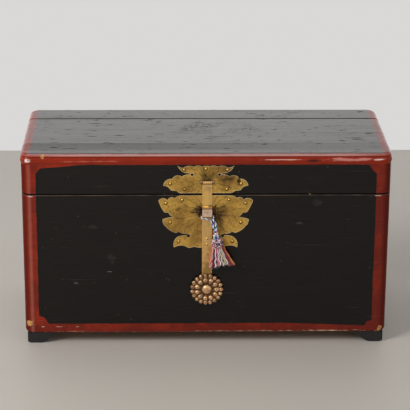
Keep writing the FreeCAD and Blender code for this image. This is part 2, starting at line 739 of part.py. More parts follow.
cylinder_feature(strap, "strap_roll_bore", "Subtractive", "(Sizes.pin_radius + Sizes.pin_play)",
                 "Sizes.strap_width", ("0", f"-{PIN_REACH}", "0"), ALONG_X)
RIVET_DROPS = ("Sizes.upper_rivet_drop", "Sizes.upper_rivet_drop + Sizes.rivet_spacing")
HOLES = [("Sizes.rivet_shank_radius", drop) for drop in RIVET_DROPS]
HOLES.append(("Sizes.boss_shank_radius", "Sizes.strap_length"))
for number, (radius, drop) in enumerate(HOLES):
    cylinder_feature(strap, f"strap_hole_{number}", "Subtractive",
                     f"{radius} + Sizes.pin_play", "Sizes.strap_thick",
                     ("Sizes.strap_width / 2", f"-{STRAP_BACK}", f"-({drop})"), OUTWARD)
part(place(strap, "Sizes.hasp_offset - Sizes.strap_width / 2", FRONT, PIN_Z), "hasp_strap")


def domed_stud(name, radius, rise, shank_radius, shank_length):
    """A dome with a shank below it, turned about its own axis."""
    body = new_body(name)
    profile = closed_sketch(body, f"{name}_profile", "XZ_Plane", [
        ("0", f"-({shank_length})"),
        (shank_radius, f"-({shank_length})"),
        (shank_radius, "0"),
        (radius, "0", f"(({radius})^2 + ({rise})^2) / (2 * {rise})", 1),
        ("0", rise),
    ])
    turned = body.newObject("PartDesign::Revolution", f"{name}_turned")
    turned.Profile = profile
    turned.ReferenceAxis = (profile, ["V_Axis"])
    turned.Angle = 360
    return body


rivets = []
for number, drop in enumerate(RIVET_DROPS):
    rivet = domed_stud(f"strap_rivet_{number}", "Sizes.rivet_radius", "Sizes.rivet_rise",
                       "Sizes.rivet_shank_radius", "Sizes.strap_thick")
    rivets.append(place(rivet, "Sizes.hasp_offset", f"{FRONT} - {STRAP_FACE}",
                        f"{PIN_Z} - ({drop})", OUTWARD))
rivet_pair = doc.addObject("Part::Compound", "strap_rivets")
rivet_pair.Links = rivets
part(rivet_pair, "strap_rivets")

# Rosette: a disc with two rings of round petals, held by a domed boss

rosette = new_body("rosette")
cylinder_feature(rosette, "rosette_disc", "Additive",
                 "Sizes.rosette_radius - Sizes.outer_petal_radius", "Sizes.rosette_thick",
                 ("0", "0", "0"), Rotation())
rosette_axis = origin_feature(rosette, "Z_Axis")
PETAL_RINGS = {
    "outer": ("Sizes.rosette_radius - Sizes.outer_petal_radius", "Sizes.outer_petal_level"),
    "inner": ("Sizes.inner_ring_radius", "Sizes.inner_petal_level"),
}
for ring, (radius, z) in PETAL_RINGS.items():
    petal = rosette.newObject("PartDesign::AdditiveSphere", f"petal_{ring}")
    bind(petal, Radius=f"Sizes.{ring}_petal_radius")
    petal.Angle1 = 0
    place(petal, radius, "0", z)
    around = rosette.newObject("PartDesign::PolarPattern", f"petals_{ring}")
    around.Originals = [petal]
    around.Axis = (rosette_axis, [""])
    around.Angle = 360
    bind(around, Occurrences=f"Sizes.{ring}_petals")
    rosette.Tip = around
cylinder_feature(rosette, "rosette_bore", "Subtractive",
                 "Sizes.boss_shank_radius + Sizes.pin_play", "Sizes.rosette_thick",
                 ("0", "0", "0"), Rotation())
part(place(rosette, "Sizes.hasp_offset", f"{FRONT} - {STRAP_FACE}", ROSETTE_Z, OUTWARD), "rosette")
boss = domed_stud("rosette_boss", "Sizes.boss_radius", "Sizes.boss_rise",
                  "Sizes.boss_shank_radius", "Sizes.rosette_thick + Sizes.strap_thick")
part(place(boss, "Sizes.hasp_offset", f"{FRONT} - {STRAP_FACE} - Sizes.rosette_thick", ROSETTE_Z,
           OUTWARD), "rosette_boss")

# Rear hinges: lobed leaves, knuckles and a pin through each barrel

OUTER_KNUCKLE = ("((Sizes.barrel_length - Sizes.barrel_centre_length) / 2 - Sizes.knuckle_gap)")
KNUCKLES = {
    "lid": [("-Sizes.barrel_centre_length / 2", "Sizes.barrel_centre_length")],
    "carcase": [("-Sizes.barrel_length / 2", OUTER_KNUCKLE),
                ("Sizes.barrel_centre_length / 2 + Sizes.knuckle_gap", OUTER_KNUCKLE)],
}


def hinge_leaf(side, owner):
    """A three-lobed leaf on the chest's back with knuckles on the hinge line."""
    name = f"hinge_leaf_{owner}_{side}"
    up = 1 if owner == "lid" else -1
    body = new_body(name)
    half, near = "Sizes.leaf_width / 2", f"{up} * {LEAF_GAP}"
    waist, foot = f"{up} * Sizes.leaf_height * 0.56", f"{up} * Sizes.leaf_height * 0.6"
    tip = f"{up} * Sizes.leaf_height"
    lobe, point = "Sizes.leaf_width * 0.26", "Sizes.leaf_width * 0.22"
    outline = closed_sketch(body, f"{name}_outline", "XZ_Plane", [
        (f"-{half}", near),
        (half, near, "Sizes.leaf_height * 0.36", up),
        ("Sizes.leaf_width * 0.3", waist),
        (point, foot, "Sizes.leaf_height * 0.5", up),
        ("0", tip, "Sizes.leaf_height * 0.5", up),
        (f"-{point}", foot),
        ("-Sizes.leaf_width * 0.3", waist, "Sizes.leaf_height * 0.36", up),
    ])
    pad(body, f"{name}_sheet", outline, "Sizes.leaf_thick", reverse=True)
    for number, (x, length) in enumerate(KNUCKLES[owner]):
        low = "0" if up == 1 else f"-{LEAF_GAP}"
        box_feature(body, f"{name}_tab_{number}", "Additive",
                    (length, "Sizes.leaf_thick", LEAF_GAP), (x, "0", low))
        cylinder_feature(body, f"{name}_knuckle_{number}", "Additive", "Sizes.barrel_radius",
                         length, (x, "Sizes.barrel_standoff", "0"), ALONG_X)
    cylinder_feature(body, f"{name}_bore", "Subtractive",
                     "Sizes.hinge_pin_radius + Sizes.pin_play", "Sizes.barrel_length",
                     ("-Sizes.barrel_length / 2", "Sizes.barrel_standoff", "0"), ALONG_X)
    seats = leaf_nail_seats(up)
    for number, seat in enumerate(seats[:3] if side == "left" else seats[3:]):
        dx, dz = seat.x - mm(HINGE_X[side]), seat.z - mm(SEAM)
        cylinder_feature(body, f"{name}_nail_hole_{number}", "Subtractive",
                         "Sizes.nail_shank_radius + Sizes.nail_play", "Sizes.leaf_thick",
                         (str(dx), "Sizes.leaf_thick", str(dz)), OUTWARD)
    return part(place(body, HINGE_X[side], BACK, SEAM), name)


for side, x in HINGE_X.items():
    hinge_leaf(side, "lid")
    hinge_leaf(side, "carcase")
    hinge_pin = doc.addObject("Part::Cylinder", f"hinge_pin_{side}")
    bind(hinge_pin, Radius="Sizes.hinge_pin_radius", Height="Sizes.barrel_length")
    part(place(hinge_pin, f"{x} - Sizes.barrel_length / 2", f"{BACK} + Sizes.barrel_standoff", SEAM,
               ALONG_X), f"hinge_pin_{side}")
nail_group("lid_hinge_nails", lid_hinge_seats, TO_BACK)
nail_group("carcase_hinge_nails", carcase_hinge_seats, TO_BACK)

# Tassel: a cord looped through the bridge, a wrapped head and a flared skirt

# The cord's route from the strap's middle line, the chest's front and the bridge's lower edge:
# across, out and up. It runs through the bridge, round the strap and down to the head.
CORD_ROUTE = [
    (13.0, 10.2, -3.4), (12.7, 7.3, 0.4), (10.8, 6.0, 1.6), (-10.8, 6.0, 1.6), (-12.6, 7.3, 1.0),
    (-13.0, 9.9, -0.4), (-12.8, 12.6, -1.9), (-11.0, 14.4, -2.9), (-4.0, 14.6, -3.5),
    (3.6, 14.6, -4.6), (10.6, 14.6, -9.0), (14.8, 14.4, -19.0), (17.2, 14.2, -33.0),
    (18.9, 14.2, -46.0),
]


def rounded_path(points):
    """Straight runs joined by arcs as large as the runs allow, with the radius of each arc."""
    edges, radii = [], []
    last = points[0]
    for before, corner, after in zip(points, points[1:], points[2:]):
        back, on = (before - corner), (after - corner)
        reach = 0.45 * min(back.Length, on.Length)
        turn = math.pi - back.getAngle(on)
        radius = reach / math.tan(turn / 2)
        radii.append(radius)
        start, end = corner + back.normalize() * reach, corner + on.normalize() * reach
        inward = (back + on).normalize()
        middle = corner + inward * (radius / math.cos(turn / 2) - radius)
        edges += [Part.LineSegment(last, start).toShape(), Part.Arc(start, middle, end).toShape()]
        last = end
    edges.append(Part.LineSegment(last, points[-1]).toShape())
    return Part.Wire(edges), radii


cord_base = Vector(mm("Sizes.hasp_offset"), mm(FRONT), mm(f"{BRIDGE_Z} - {HALF_BRIDGE}"))
cord_points = [cord_base + Vector(x, -out, up) for x, out, up in CORD_ROUTE]
cord_path, cord_radii = rounded_path(cord_points)
start_direction = cord_points[1] - cord_points[0]
ring = Part.Wire(Part.makeCircle(mm("Sizes.cord_radius"), cord_points[0], start_direction))
cord = Part.Solid(cord_path.makePipeShell([ring], True, False))
section = math.pi * mm("Sizes.cord_radius") ** 2
print("cord length", round(cord_path.Length, 1), "radii", [round(r, 1) for r in cord_radii])
print("cord volume over section times length", round(cord.Volume / section / cord_path.Length, 4))
fixed("tassel_cord", cord)

# The tassel hangs below the cord's end and leans away from the strap
LEAN = Rotation(Vector(0, 1, 0), -mm("Sizes.tassel_lean"))
cord_end = cord_points[-1]
down = LEAN.multVec(Vector(0, 0, -1))
head_top = cord_end + down * mm("Sizes.tassel_gap")

head = new_body("tassel_head")
head_outline = closed_sketch(head, "head_outline", "XZ_Plane", [
    ("0", "-Sizes.head_length"),
    ("Sizes.head_neck_radius", "-Sizes.head_length", "Sizes.head_length * 0.42", 1),
    ("Sizes.head_radius", "-Sizes.head_length * 0.55", "Sizes.head_length * 0.5", 1),
    ("Sizes.head_crown_radius", "0"),
    ("0", "0"),
])
head_turned = head.newObject("PartDesign::Revolution", "head_turned")
head_turned.Profile = head_outline
head_turned.ReferenceAxis = (head_outline, ["V_Axis"])
head_turned.Angle = 360
head.Placement = Placement(head_top, LEAN)
part(head, "tassel_head")


def oval(width, depth, z):
    """An oval ring of two half turns each way, across X and Y at one height."""
    return Part.Wire(Part.Ellipse(Vector(0, 0, z), width / 2, depth / 2).toShape())


skirt_drop = mm("Sizes.head_length + Sizes.tassel_gap")
skirt_end = skirt_drop + mm("Sizes.skirt_length")
skirt = Part.makeLoft([
    oval(mm("Sizes.skirt_hem_width"), mm("Sizes.skirt_hem_depth"), -skirt_end),
    oval(mm("Sizes.skirt_top_width"), mm("Sizes.skirt_top_depth"), -skirt_drop),
], True)
skirt_piece = fixed("tassel_skirt", skirt)
skirt_piece.Placement = Placement(head_top, LEAN)

# Check every object, then write the pieces

doc.recompute()
faults = [o.Name for o in doc.Objects if {"Invalid", "Error"} & set(o.State)]
faults += [p.Label for p in parts if p.Shape.isNull() or not p.Shape.isValid()]
if faults:
    raise RuntimeError(f"these did not build: {faults}")
os.makedirs("parts", exist_ok=True)
for piece in parts:
    piece.Shape.exportStep(f"parts/{piece.Label}.step")
print(len(parts), "pieces written")
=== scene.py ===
import math
from functools import partial

import bpy
import numpy as np
from bpy.props import FloatProperty, FloatVectorProperty, IntProperty, PointerProperty
from mathutils import Matrix, Vector


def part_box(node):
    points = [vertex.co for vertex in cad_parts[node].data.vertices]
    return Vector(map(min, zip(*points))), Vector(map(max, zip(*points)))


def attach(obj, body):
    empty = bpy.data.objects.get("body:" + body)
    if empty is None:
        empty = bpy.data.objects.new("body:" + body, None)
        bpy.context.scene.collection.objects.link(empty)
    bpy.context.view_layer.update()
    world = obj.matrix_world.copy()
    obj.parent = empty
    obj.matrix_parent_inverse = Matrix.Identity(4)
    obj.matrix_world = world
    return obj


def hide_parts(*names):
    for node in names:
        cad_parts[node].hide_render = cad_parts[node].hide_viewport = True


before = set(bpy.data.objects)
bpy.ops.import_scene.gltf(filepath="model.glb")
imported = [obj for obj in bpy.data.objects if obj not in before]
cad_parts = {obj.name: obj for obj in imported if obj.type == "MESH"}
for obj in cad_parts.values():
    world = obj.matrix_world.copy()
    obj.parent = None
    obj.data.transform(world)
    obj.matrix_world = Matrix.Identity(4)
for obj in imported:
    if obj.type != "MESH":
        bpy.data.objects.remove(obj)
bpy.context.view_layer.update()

bl_info = {
    "name": "Wedding Chest Finishes",
    "version": (1, 0, 0),
    "blender": (4, 5, 0),
    "location": "View3D > Sidebar > Chest",
    "description": "Lacquer, brasswork and a silk tassel for the frame of a wedding chest",
    "category": "Object",
}

MM = 0.001

# Places on the chest, from the frame
LEFT_X, FRONT_Y, BASE_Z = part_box("carcase_front")[0]
RIGHT_X, BACK_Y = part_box("carcase_front")[1][0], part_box("carcase_back")[1][1]
MIDDLE_Y = (FRONT_Y + BACK_Y) / 2
HALF_WIDTH, HALF_DEPTH = (RIGHT_X - LEFT_X) / 2, (BACK_Y - FRONT_Y) / 2
SEAM_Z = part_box("lid_front")[0][2]
LID_WALL_TOP, TOP_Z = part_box("lid_top_plank_middle")[0][2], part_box("lid_top_plank_middle")[1][2]
FRONT_JOINT_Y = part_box("lid_top_plank_front")[1][1]
BACK_JOINT_Y = (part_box("lid_top_plank_middle")[1][1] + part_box("lid_top_plank_back")[0][1]) / 2
BEAD_Z = LID_WALL_TOP + 9 * MM
WALL_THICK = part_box("carcase_front")[1][1] - FRONT_Y
PLATE_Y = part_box("front_plate")[0][1]
HASP_X = sum(corner[0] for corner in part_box("rosette")) / 2
ROSETTE_Z = sum(corner[2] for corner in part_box("rosette")) / 2
ROSETTE_BACK_Y, ROSETTE_FRONT_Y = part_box("rosette")[1][1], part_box("rosette")[0][1]
PIN_Z = sum(corner[2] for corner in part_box("hasp_pin")) / 2
BRIDGE_Z = sum(corner[2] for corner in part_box("lock_lug_left")) / 2
HALF_BRIDGE = 8 * MM
# The lid's crackle, from where to where painted shade darkens the walls' right end and the lid's right end
# gets duller, and the stretch of grain along the boards
CRACKLE_SPOT = (20 * MM, MIDDLE_Y + 25 * MM, TOP_Z)
RIGHT_PART = (200 * MM, 360 * MM)
ALONG_BOARDS = (0.035, 1, 1)
# Heights of the strap's dark bands, half the height of each and how dark it is: painted shade under the roll
# and along its top, darker bands on the upper ramp over the bridge, and painted shade under the bridge
STRAP_DARK_BANDS = [
    (PIN_Z - 3.2 * MM, 1.7 * MM, 0.9), (PIN_Z + 2.8 * MM, 1.0 * MM, 0.7),
    (BRIDGE_Z + HALF_BRIDGE + 5.2 * MM, 1.1 * MM, 0.95), (BRIDGE_Z + HALF_BRIDGE + 2.6 * MM, 4.6 * MM, 0.72),
    (BRIDGE_Z + HALF_BRIDGE + 0.8 * MM, 1.0 * MM, 0.95),
    (BRIDGE_Z - HALF_BRIDGE - 2.4 * MM, 2.4 * MM, 0.9),
]

# Petals, radius, a petal's cup and its half width and half length in each ring of the rosette
ROSETTE_RINGS = [
    (19, 29.6 * MM, 1.7 * MM, (4.5 * MM, 6.0 * MM, 1.0)),
    (11, 20.0 * MM, 2.4 * MM, (5.0 * MM, 7.4 * MM, 1.0)),
]

# The cord's route from the strap's middle line, the chest's front and the bridge's lower edge, in
# millimetres: across, out and up. The first leg hangs a little left of the tube and the second beside it.
CORD_ROUTE = [
    (13.0, 10.2, -3.4), (12.7, 7.3, 0.4), (10.8, 6.0, 1.6), (-10.4, 6.0, 1.6), (-11.7, 7.3, 0.8),
    (-12.0, 9.9, -0.8), (-11.6, 12.6, -2.2), (-9.8, 13.6, -3.2), (-4.0, 13.8, -3.9),
    (2.6, 13.9, -5.0), (8.4, 14.3, -9.4), (11.6, 14.3, -19.0), (16.4, 14.2, -30.0),
    (18.9, 14.2, -46.0),
]
SECOND_LEG = [
    (11.0, 11.0, -5.0), (13.4, 12.8, -7.4), (16.0, 13.9, -12.0), (17.8, 14.4, -18.0), (18.6, 14.4, -25.0),
    (17.2, 14.2, -32.0),
]
# Thickness at shares of the way: the cord is thin where it is drawn round the strap, and slack below
CORD_THICKNESS = [(0, 2.9 * MM), (0.6, 2.7 * MM), (0.7, 4.6 * MM), (1, 4.6 * MM)]
SECOND_LEG_THICKNESS = [(0, 3.6 * MM), (1, 4.6 * MM)]
TASSEL_LEAN = math.radians(10)


def linear(hex_colour):
    """An sRGB hex colour as linear red, green, blue and a full alpha."""
    parts = [int(hex_colour[i:i + 2], 16) / 255 for i in (0, 2, 4)]
    return [c / 12.92 if c <= 0.04045 else ((c + 0.055) / 1.055) ** 2.4 for c in parts] + [1.0]


def colour(name, description, hex_colour):
    """A colour that a user can change."""
    return FloatVectorProperty(name=name, description=description, default=linear(hex_colour),
                               subtype="COLOR", size=4, min=0, max=1)


def length(name, description, millimetres):
    """A length that a user can change."""
    return FloatProperty(name=name, description=description, default=millimetres * MM, unit="LENGTH", min=0)


class ChestSizes(bpy.types.PropertyGroup):
    """Sizes of the paintwork and of the tassel."""
    side_border: length("Side Border", "Width of the red border up each side", 29.5)
    base_border: length("Base Border", "Height of the red border over the base", 21.5)
    top_border: length("Top Border", "Height of the red border under the lid's edge", 22.6)
    lid_end_border: length("Lid End Border", "Width of the red border at the ends of the lid", 17)
    lid_edge_border: length("Lid Edge Border", "Width of the red border at the lid's front and back", 4.5)
    cord_diameter: length("Cord Diameter", "Thickness of the tassel's cord", 3.7)
    cord_pitch: length("Cord Pitch", "Length of one turn of the cord's plies", 11)
    cord_plies: IntProperty(name="Cord Plies", description="Strands in the cord", default=3, min=2)
    head_loops: IntProperty(name="Head Loops", description="Loops of floss on the head", default=210, min=1)
    lock_threads: IntProperty(
        name="Lock Threads", description="Threads in each lock of the skirt", default=9, min=1)


class ChestColours(bpy.types.PropertyGroup):
    """Colours of the finishes."""
    red_lacquer: colour("Red Lacquer", "Borders and corners", "97290F")
    # worn red, and painted shade towards the walls' right end
    worn_and_shaded_red: colour("Worn Red", "Where the red has darkened", "6E1B0C")
    # painted shade on the front corners
    shaded_red: colour("Soiled Red", "Red at the front corners", "64190C")
    # paler red round the lid's top: partly rubbed, partly a painted highlight
    worn_arris_and_highlight: colour("Pale Arris", "Red rubbed pale round the lid's top", "F0D2CA")
    # painted highlight beside the left front corner
    corner_highlight: colour("Pale Corner", "Red rubbed pale beside the corner", "D88A78")
    black_lacquer: colour("Black Lacquer", "Panels and lid", "090707")
    brown_black: colour("Brown Black", "Where the black has faded", "17120F")
    # pale dust, and a painted highlight under the seam
    dust_and_seam_highlight: colour("Rubbed Edge", "Pale dust and rubbed edges", "A8917E")
    foot_black: colour("Foot Black", "Feet", "14151A")
    bare_wood: colour("Bare Wood", "Inside, and where the lacquer is chipped", "CC9A5C")
    dark_grain: colour("Dark Grain", "Grain of the bare wood", "6B4A2A")
    brass: colour("Brass", "Butterfly plates", "DEB056")
    dull_brass: colour("Dull Brass", "Where the plates have dulled", "9C7436")
    # painted highlight along the plates' cut edges
    edge_highlight: colour("Cut Edge", "Rubbed edges of the plates", "FAE4B4")
    tarnish: colour("Tarnish", "Brown stain on the brass", "3C2916")
    rubbed_brass: colour("Rubbed Brass", "Strap and hinges", "EEC07A")
    rose_brass: colour("Rose Brass", "Face of the bridge", "F8D6B8")
    brown_brass: colour("Brown Brass", "Eyes and lugs", "8A6845")
    bronze: colour("Bronze", "Raised parts of the rosette", "ECBC8C")
    bronze_shade: colour("Bronze Shade", "Hollows of the rosette", "5A3E26")
    iron: colour("Iron", "Pins", "5B5148")
    floor: colour("Floor", "The floor under the chest", "C4BEB5")
    backdrop: colour("Backdrop", "What is seen past the floor", "D9D8D7")


# Nodes and meshes


def add_node(tree, kind, *values, inputs=None, **settings):
    """Add a shader node with its settings, and give the output that it uses, or all where it has several.

    The values go in order to the inputs that the settings leave in use, and inputs holds others by name.
    Each is a constant or another node's output.
    """
    node = tree.nodes.new("ShaderNode" + kind)
    for name, value in settings.items():
        setattr(node, name, value)
    used = [socket for socket in node.inputs if socket.enabled][:len(values)]
    pairs = list(zip(used, values, strict=True))
    pairs += [(node.inputs[name], value) for name, value in (inputs or {}).items()]
    for socket, value in pairs:
        if isinstance(value, bpy.types.NodeSocket):
            tree.links.new(value, socket)
        else:
            socket.default_value = value
    given = [socket for socket in node.outputs if socket.enabled]
    return given[0] if len(given) == 1 else node.outputs


def new_material(name):
    """An empty material, the function that adds nodes to it, and its Object coordinates."""
    made = bpy.data.materials.new(name)
    made.use_nodes = True
    made.node_tree.nodes.clear()
    add = partial(add_node, made.node_tree)
    return made, add, add("TexCoord")["Object"]


def surface(add, relief=None, **sockets):
    """Close a material with its shader; underscores stand for the spaces in socket names.

    A relief is its height, its strength and the depth of a height of 1.
    """
    named = {name.replace("_", " "): value for name, value in sockets.items()}
    if relief is not None:
        named["Normal"] = add("Bump", inputs=dict(zip(("Height", "Strength", "Distance"), relief)))
    add("OutputMaterial", add("BsdfPrincipled", inputs=named))


def finish_nodes(material, names):
    """Give CAD nodes a material."""
    for name in names:
        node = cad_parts[name]
        if not node.material_slots:
            node.data.materials.append(material)
        for slot in node.material_slots:
            slot.material = material


def tube_mesh(name, paths, radii, sides, reference):
    """Round tubes with closed ends, all of them one mesh.

    A ring is path + radius (cos a N + sin a B) for a from 0 to a full turn, where T runs along the path,
    N is T crossed with the reference direction and B is T crossed with N. paths is tubes x rows x 3,
    radii tubes x rows. The rows of a tube are joined by quads and its ends by fans.
    """
    tubes, rows = paths.shape[:2]
    along = np.gradient(paths, axis=1)
    along /= np.linalg.norm(along, axis=-1, keepdims=True)
    across = np.cross(along, reference)
    across /= np.linalg.norm(across, axis=-1, keepdims=True)
    third = np.cross(along, across)
    turn = np.linspace(0, 2 * np.pi, sides, endpoint=False)[:, None]
    spokes = np.cos(turn) * across[:, :, None] + np.sin(turn) * third[:, :, None]
    rings = paths[:, :, None] + radii[:, :, None, None] * spokes
    points = np.concatenate([rings.reshape(tubes, -1, 3), paths[:, :1], paths[:, -1:]], axis=1)

    near = np.arange(sides)
    far = np.roll(near, -1)
    row = np.arange(rows - 1)[:, None] * sides
    quads = np.stack([row + near, row + far, row + far + sides, row + near + sides], axis=-1).reshape(-1, 4)
    first = np.stack([np.full(sides, rows * sides), far, near], axis=-1)
    last_row = (rows - 1) * sides
    last = np.stack([np.full(sides, rows * sides + 1), last_row + near, last_row + far], axis=-1)
    start = np.arange(tubes)[:, None, None] * points.shape[1]
    quads = (quads + start).reshape(-1, 4).tolist()
    fans = (np.concatenate([first, last]) + start).reshape(-1, 3).tolist()

    mesh = bpy.data.meshes.new(name)
    mesh.from_pydata(points.reshape(-1, 3).tolist(), [], quads + fans)
    mesh.polygons.foreach_set("use_smooth", np.ones(len(mesh.polygons), dtype=bool))
    mesh.update()
    return mesh


def points_of(mesh):
    """The places of a mesh's vertices, one per row."""
    spots = np.empty(len(mesh.vertices) * 3)
    mesh.vertices.foreach_get("co", spots)
    return spots.reshape(-1, 3)


def tint(mesh, colours):
    """Write one colour per tube to the mesh, as the attribute that its material reads."""
    each = len(mesh.vertices) // len(colours)
    layer = mesh.attributes.new("floss", "FLOAT_COLOR", "POINT")
    layer.data.foreach_set("color", np.repeat(colours, each, axis=0).ravel())


def place_piece(mesh, material, body):
    """Put a finished mesh in the scene, on a body of the frame."""
    mesh.materials.append(material)
    piece = bpy.data.objects.new(mesh.name, mesh)
    bpy.context.scene.collection.objects.link(piece)
    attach(piece, body)
    return piece


# Materials


def off_level(add, value, level):
    """How far a value lies from a level, either way."""
    gap = add("Math", value, level, operation="SUBTRACT")
    return add("Math", gap, operation="ABSOLUTE")


def band(add, value, level, reach, core, amount=1, **settings):
    """An amount where a value is within a core of a level, and less out to its reach."""
    return add("MapRange", off_level(add, value, level), reach, core, 0, amount, **settings)


def streaks(add, place, stretch, size, detail):
    """Noise in patches of a size, drawn out along the axes whose stretch is below 1."""
    stretched = add("Mapping", inputs={"Vector": place, "Scale": stretch})
    return add("TexNoise", stretched, 1 / size, detail)[0]


def oval_marks(add, place, grain, skin, marks):
    """A skin with marks on it: ovals of a tone, whose rims the grain breaks up; on the lid's bead and
    corners most are painted highlights.

    A mark is its place, its half sizes in millimetres, its tone and its strength.
    """
    for spot, size, tone, amount in marks:
        away = add("VectorMath", place, spot, operation="SUBTRACT")
        share = add("VectorMath", away, [side * MM for side in size], operation="DIVIDE")
        reach = add("VectorMath", share, operation="LENGTH")
        ragged = add("Math", grain, 2.2, reach, operation="MULTIPLY_ADD")
        there = add("MapRange", ragged, 1.9, 1.45, 0, amount)
        skin = add("Mix", there, skin, linear(tone), data_type="RGBA")
    return skin


def panel_mask(add, place, across_axis, centre, half, up_axis, left_groups, right_groups, softness):
    """1 on the black panel, with an edge that wanders as a brush does.

    Each group of rows is straight edges of the panel's left or right half, as weights of the distance in
    from its side, of the height and of 1; a spot is black where every group has a row above zero.
    """
    sway = add("TexNoise", place, 1 / (28 * MM), 4.0)["Color"]
    middle = add("VectorMath", sway, (0.5, 0.5, 0.5), operation="SUBTRACT")
    swayed = add("VectorMath", middle, (3 * MM,) * 3, place, operation="MULTIPLY_ADD")
    axes = add("SeparateXYZ", swayed)
    offset = add("Math", axes[across_axis], centre, operation="SUBTRACT")
    on_right = add("Math", offset, 0.0, operation="GREATER_THAN")
    across = add("Math", offset, operation="ABSOLUTE")
    inward = add("Math", half, across, operation="SUBTRACT")
    spot = add("CombineXYZ", inward, axes[up_axis], 1.0)
    panel = None
    for left_rows, right_rows in zip(left_groups, right_groups):
        edge = None
        for left, right in zip(left_rows, right_rows):
            row = add("Mix", on_right, left, right, data_type="VECTOR")
            cut = add("VectorMath", spot, row, operation="DOT_PRODUCT")
            edge = cut if edge is None else add("Math", edge, cut, operation="MAXIMUM")
        panel = edge if panel is None else add("Math", panel, edge, operation="MINIMUM")
    return add("MapRange", panel, -softness, softness, interpolation_type="SMOOTHSTEP")


def chip_mask(add, place, axes, spots):
    """1 where the lacquer is chipped: along the lowest edge and the seam, and at given spots."""
    noise = add("TexNoise", place, 1 / (9 * MM), 4.0)[0]
    weak = add("MapRange", axes[2], BASE_Z + 8 * MM, BASE_Z, 0, 0.25)
    near_seam = band(add, axes[2], SEAM_Z, 4 * MM, 0, 0.15)
    weak = add("Math", weak, near_seam, operation="MAXIMUM")
    for spot, reach in spots:
        away = add("VectorMath", place, spot, operation="DISTANCE")
        near = add("MapRange", away, reach, reach / 3, 0, 0.4)
        weak = add("Math", weak, near, operation="MAXIMUM")
    chipping = add("Math", noise, weak, operation="ADD")
    return add("MapRange", chipping, 0.79, 0.82)


def inside_mask(add, axes):
    """1 on the bare wood inside the chest, past its walls and under its lid."""
    slack = 0.3 * MM
    plan_x = add("Math", axes[0], operation="ABSOLUTE")
    in_x = add("Math", HALF_WIDTH - WALL_THICK + slack, plan_x, operation="SUBTRACT")
    plan_y = off_level(add, axes[1], MIDDLE_Y)
    in_y = add("Math", HALF_DEPTH - WALL_THICK + slack, plan_y, operation="SUBTRACT")
    under = add("Math", LID_WALL_TOP + slack, axes[2], operation="SUBTRACT")
    within = add("Math", in_x, in_y, operation="MINIMUM")
    within = add("Math", within, under, operation="MINIMUM")
    return add("MapRange", within, 0, 0.2 * MM)


def seam_highlight_and_dust_mask(add, place, axes, lines):
    """1 where the black is pale: a broken painted highlight under the seam, where the carcase's top edge
    catches the light, specks of dust, a few scratches.
    """
    line = band(add, SEAM_Z - 2.6 * MM, axes[2], 1.1 * MM, 0.4 * MM)
    patch = add("TexNoise", place, 1 / (25 * MM), 5.0)[0]
    broken = add("MapRange", patch, 0.36, 0.66, 0.10, 0.36)
    line = add("Math", line, broken, operation="MULTIPLY")
    # a speck of about 1 mm in each cell of about 26 mm
    cell = add("TexVoronoi", place, 1 / (26 * MM))["Distance"]
    speck = add("MapRange", cell, 0.055, 0.025, 0, 0.24)
    scratch = add("MapRange", lines, 0.71, 0.76, 0, 0.08)
    marks = add("Math", speck, scratch, operation="MAXIMUM")
    # scratches 2 mm apart and ten times as long, turned by 40 degrees
    turn = (0, math.radians(40), 0)
    slanted = add("Mapping", inputs={"Vector": place, "Rotation": turn, "Scale": (0.1, 1, 1)})
    slant = add("TexNoise", slanted, 1 / (2 * MM), 2.0)[0]
    slant = add("MapRange", slant, 0.77, 0.80, 0, 0.22)
    marks = add("Math", marks, slant, operation="MAXIMUM")
    return add("Math", line, marks, operation="MAXIMUM")


def corner_masks(add, axes):
    """How much painted shade darkens the front corners, and how strong the painted highlight line beside the
    left one is.
    """
    from_middle = add("Math", axes[0], operation="ABSOLUTE")
    inward = add("Math", HALF_WIDTH, from_middle, operation="SUBTRACT")
    # painted shade on the outer part of both rounded front corners
    at_front = add("MapRange", axes[1], FRONT_Y + 45 * MM, FRONT_Y + 20 * MM)
    shaded_corners = add("MapRange", inward, 15 * MM, 6 * MM, 0, at_front)
    # a painted highlight in a line 16 mm in from the left side
    left = add("MapRange", axes[0], 0.1, -0.1, 0, 0.22)
    line = band(add, inward, 15.8 * MM, 6 * MM, 0.5 * MM, left, interpolation_type="SMOOTHSTEP")
    line = add("Math", line, at_front, operation="MULTIPLY")
    # the whole of the left strip is a little darker on the lid
    on_lid = add("MapRange", axes[2], SEAM_Z - 1 * MM, SEAM_Z + 1 * MM, 0, left)
    strip = add("MapRange", inward, 36 * MM, 28 * MM, 0, on_lid)
    shaded_corners = add("Math", shaded_corners, strip, operation="MAXIMUM")
    return shaded_corners, line


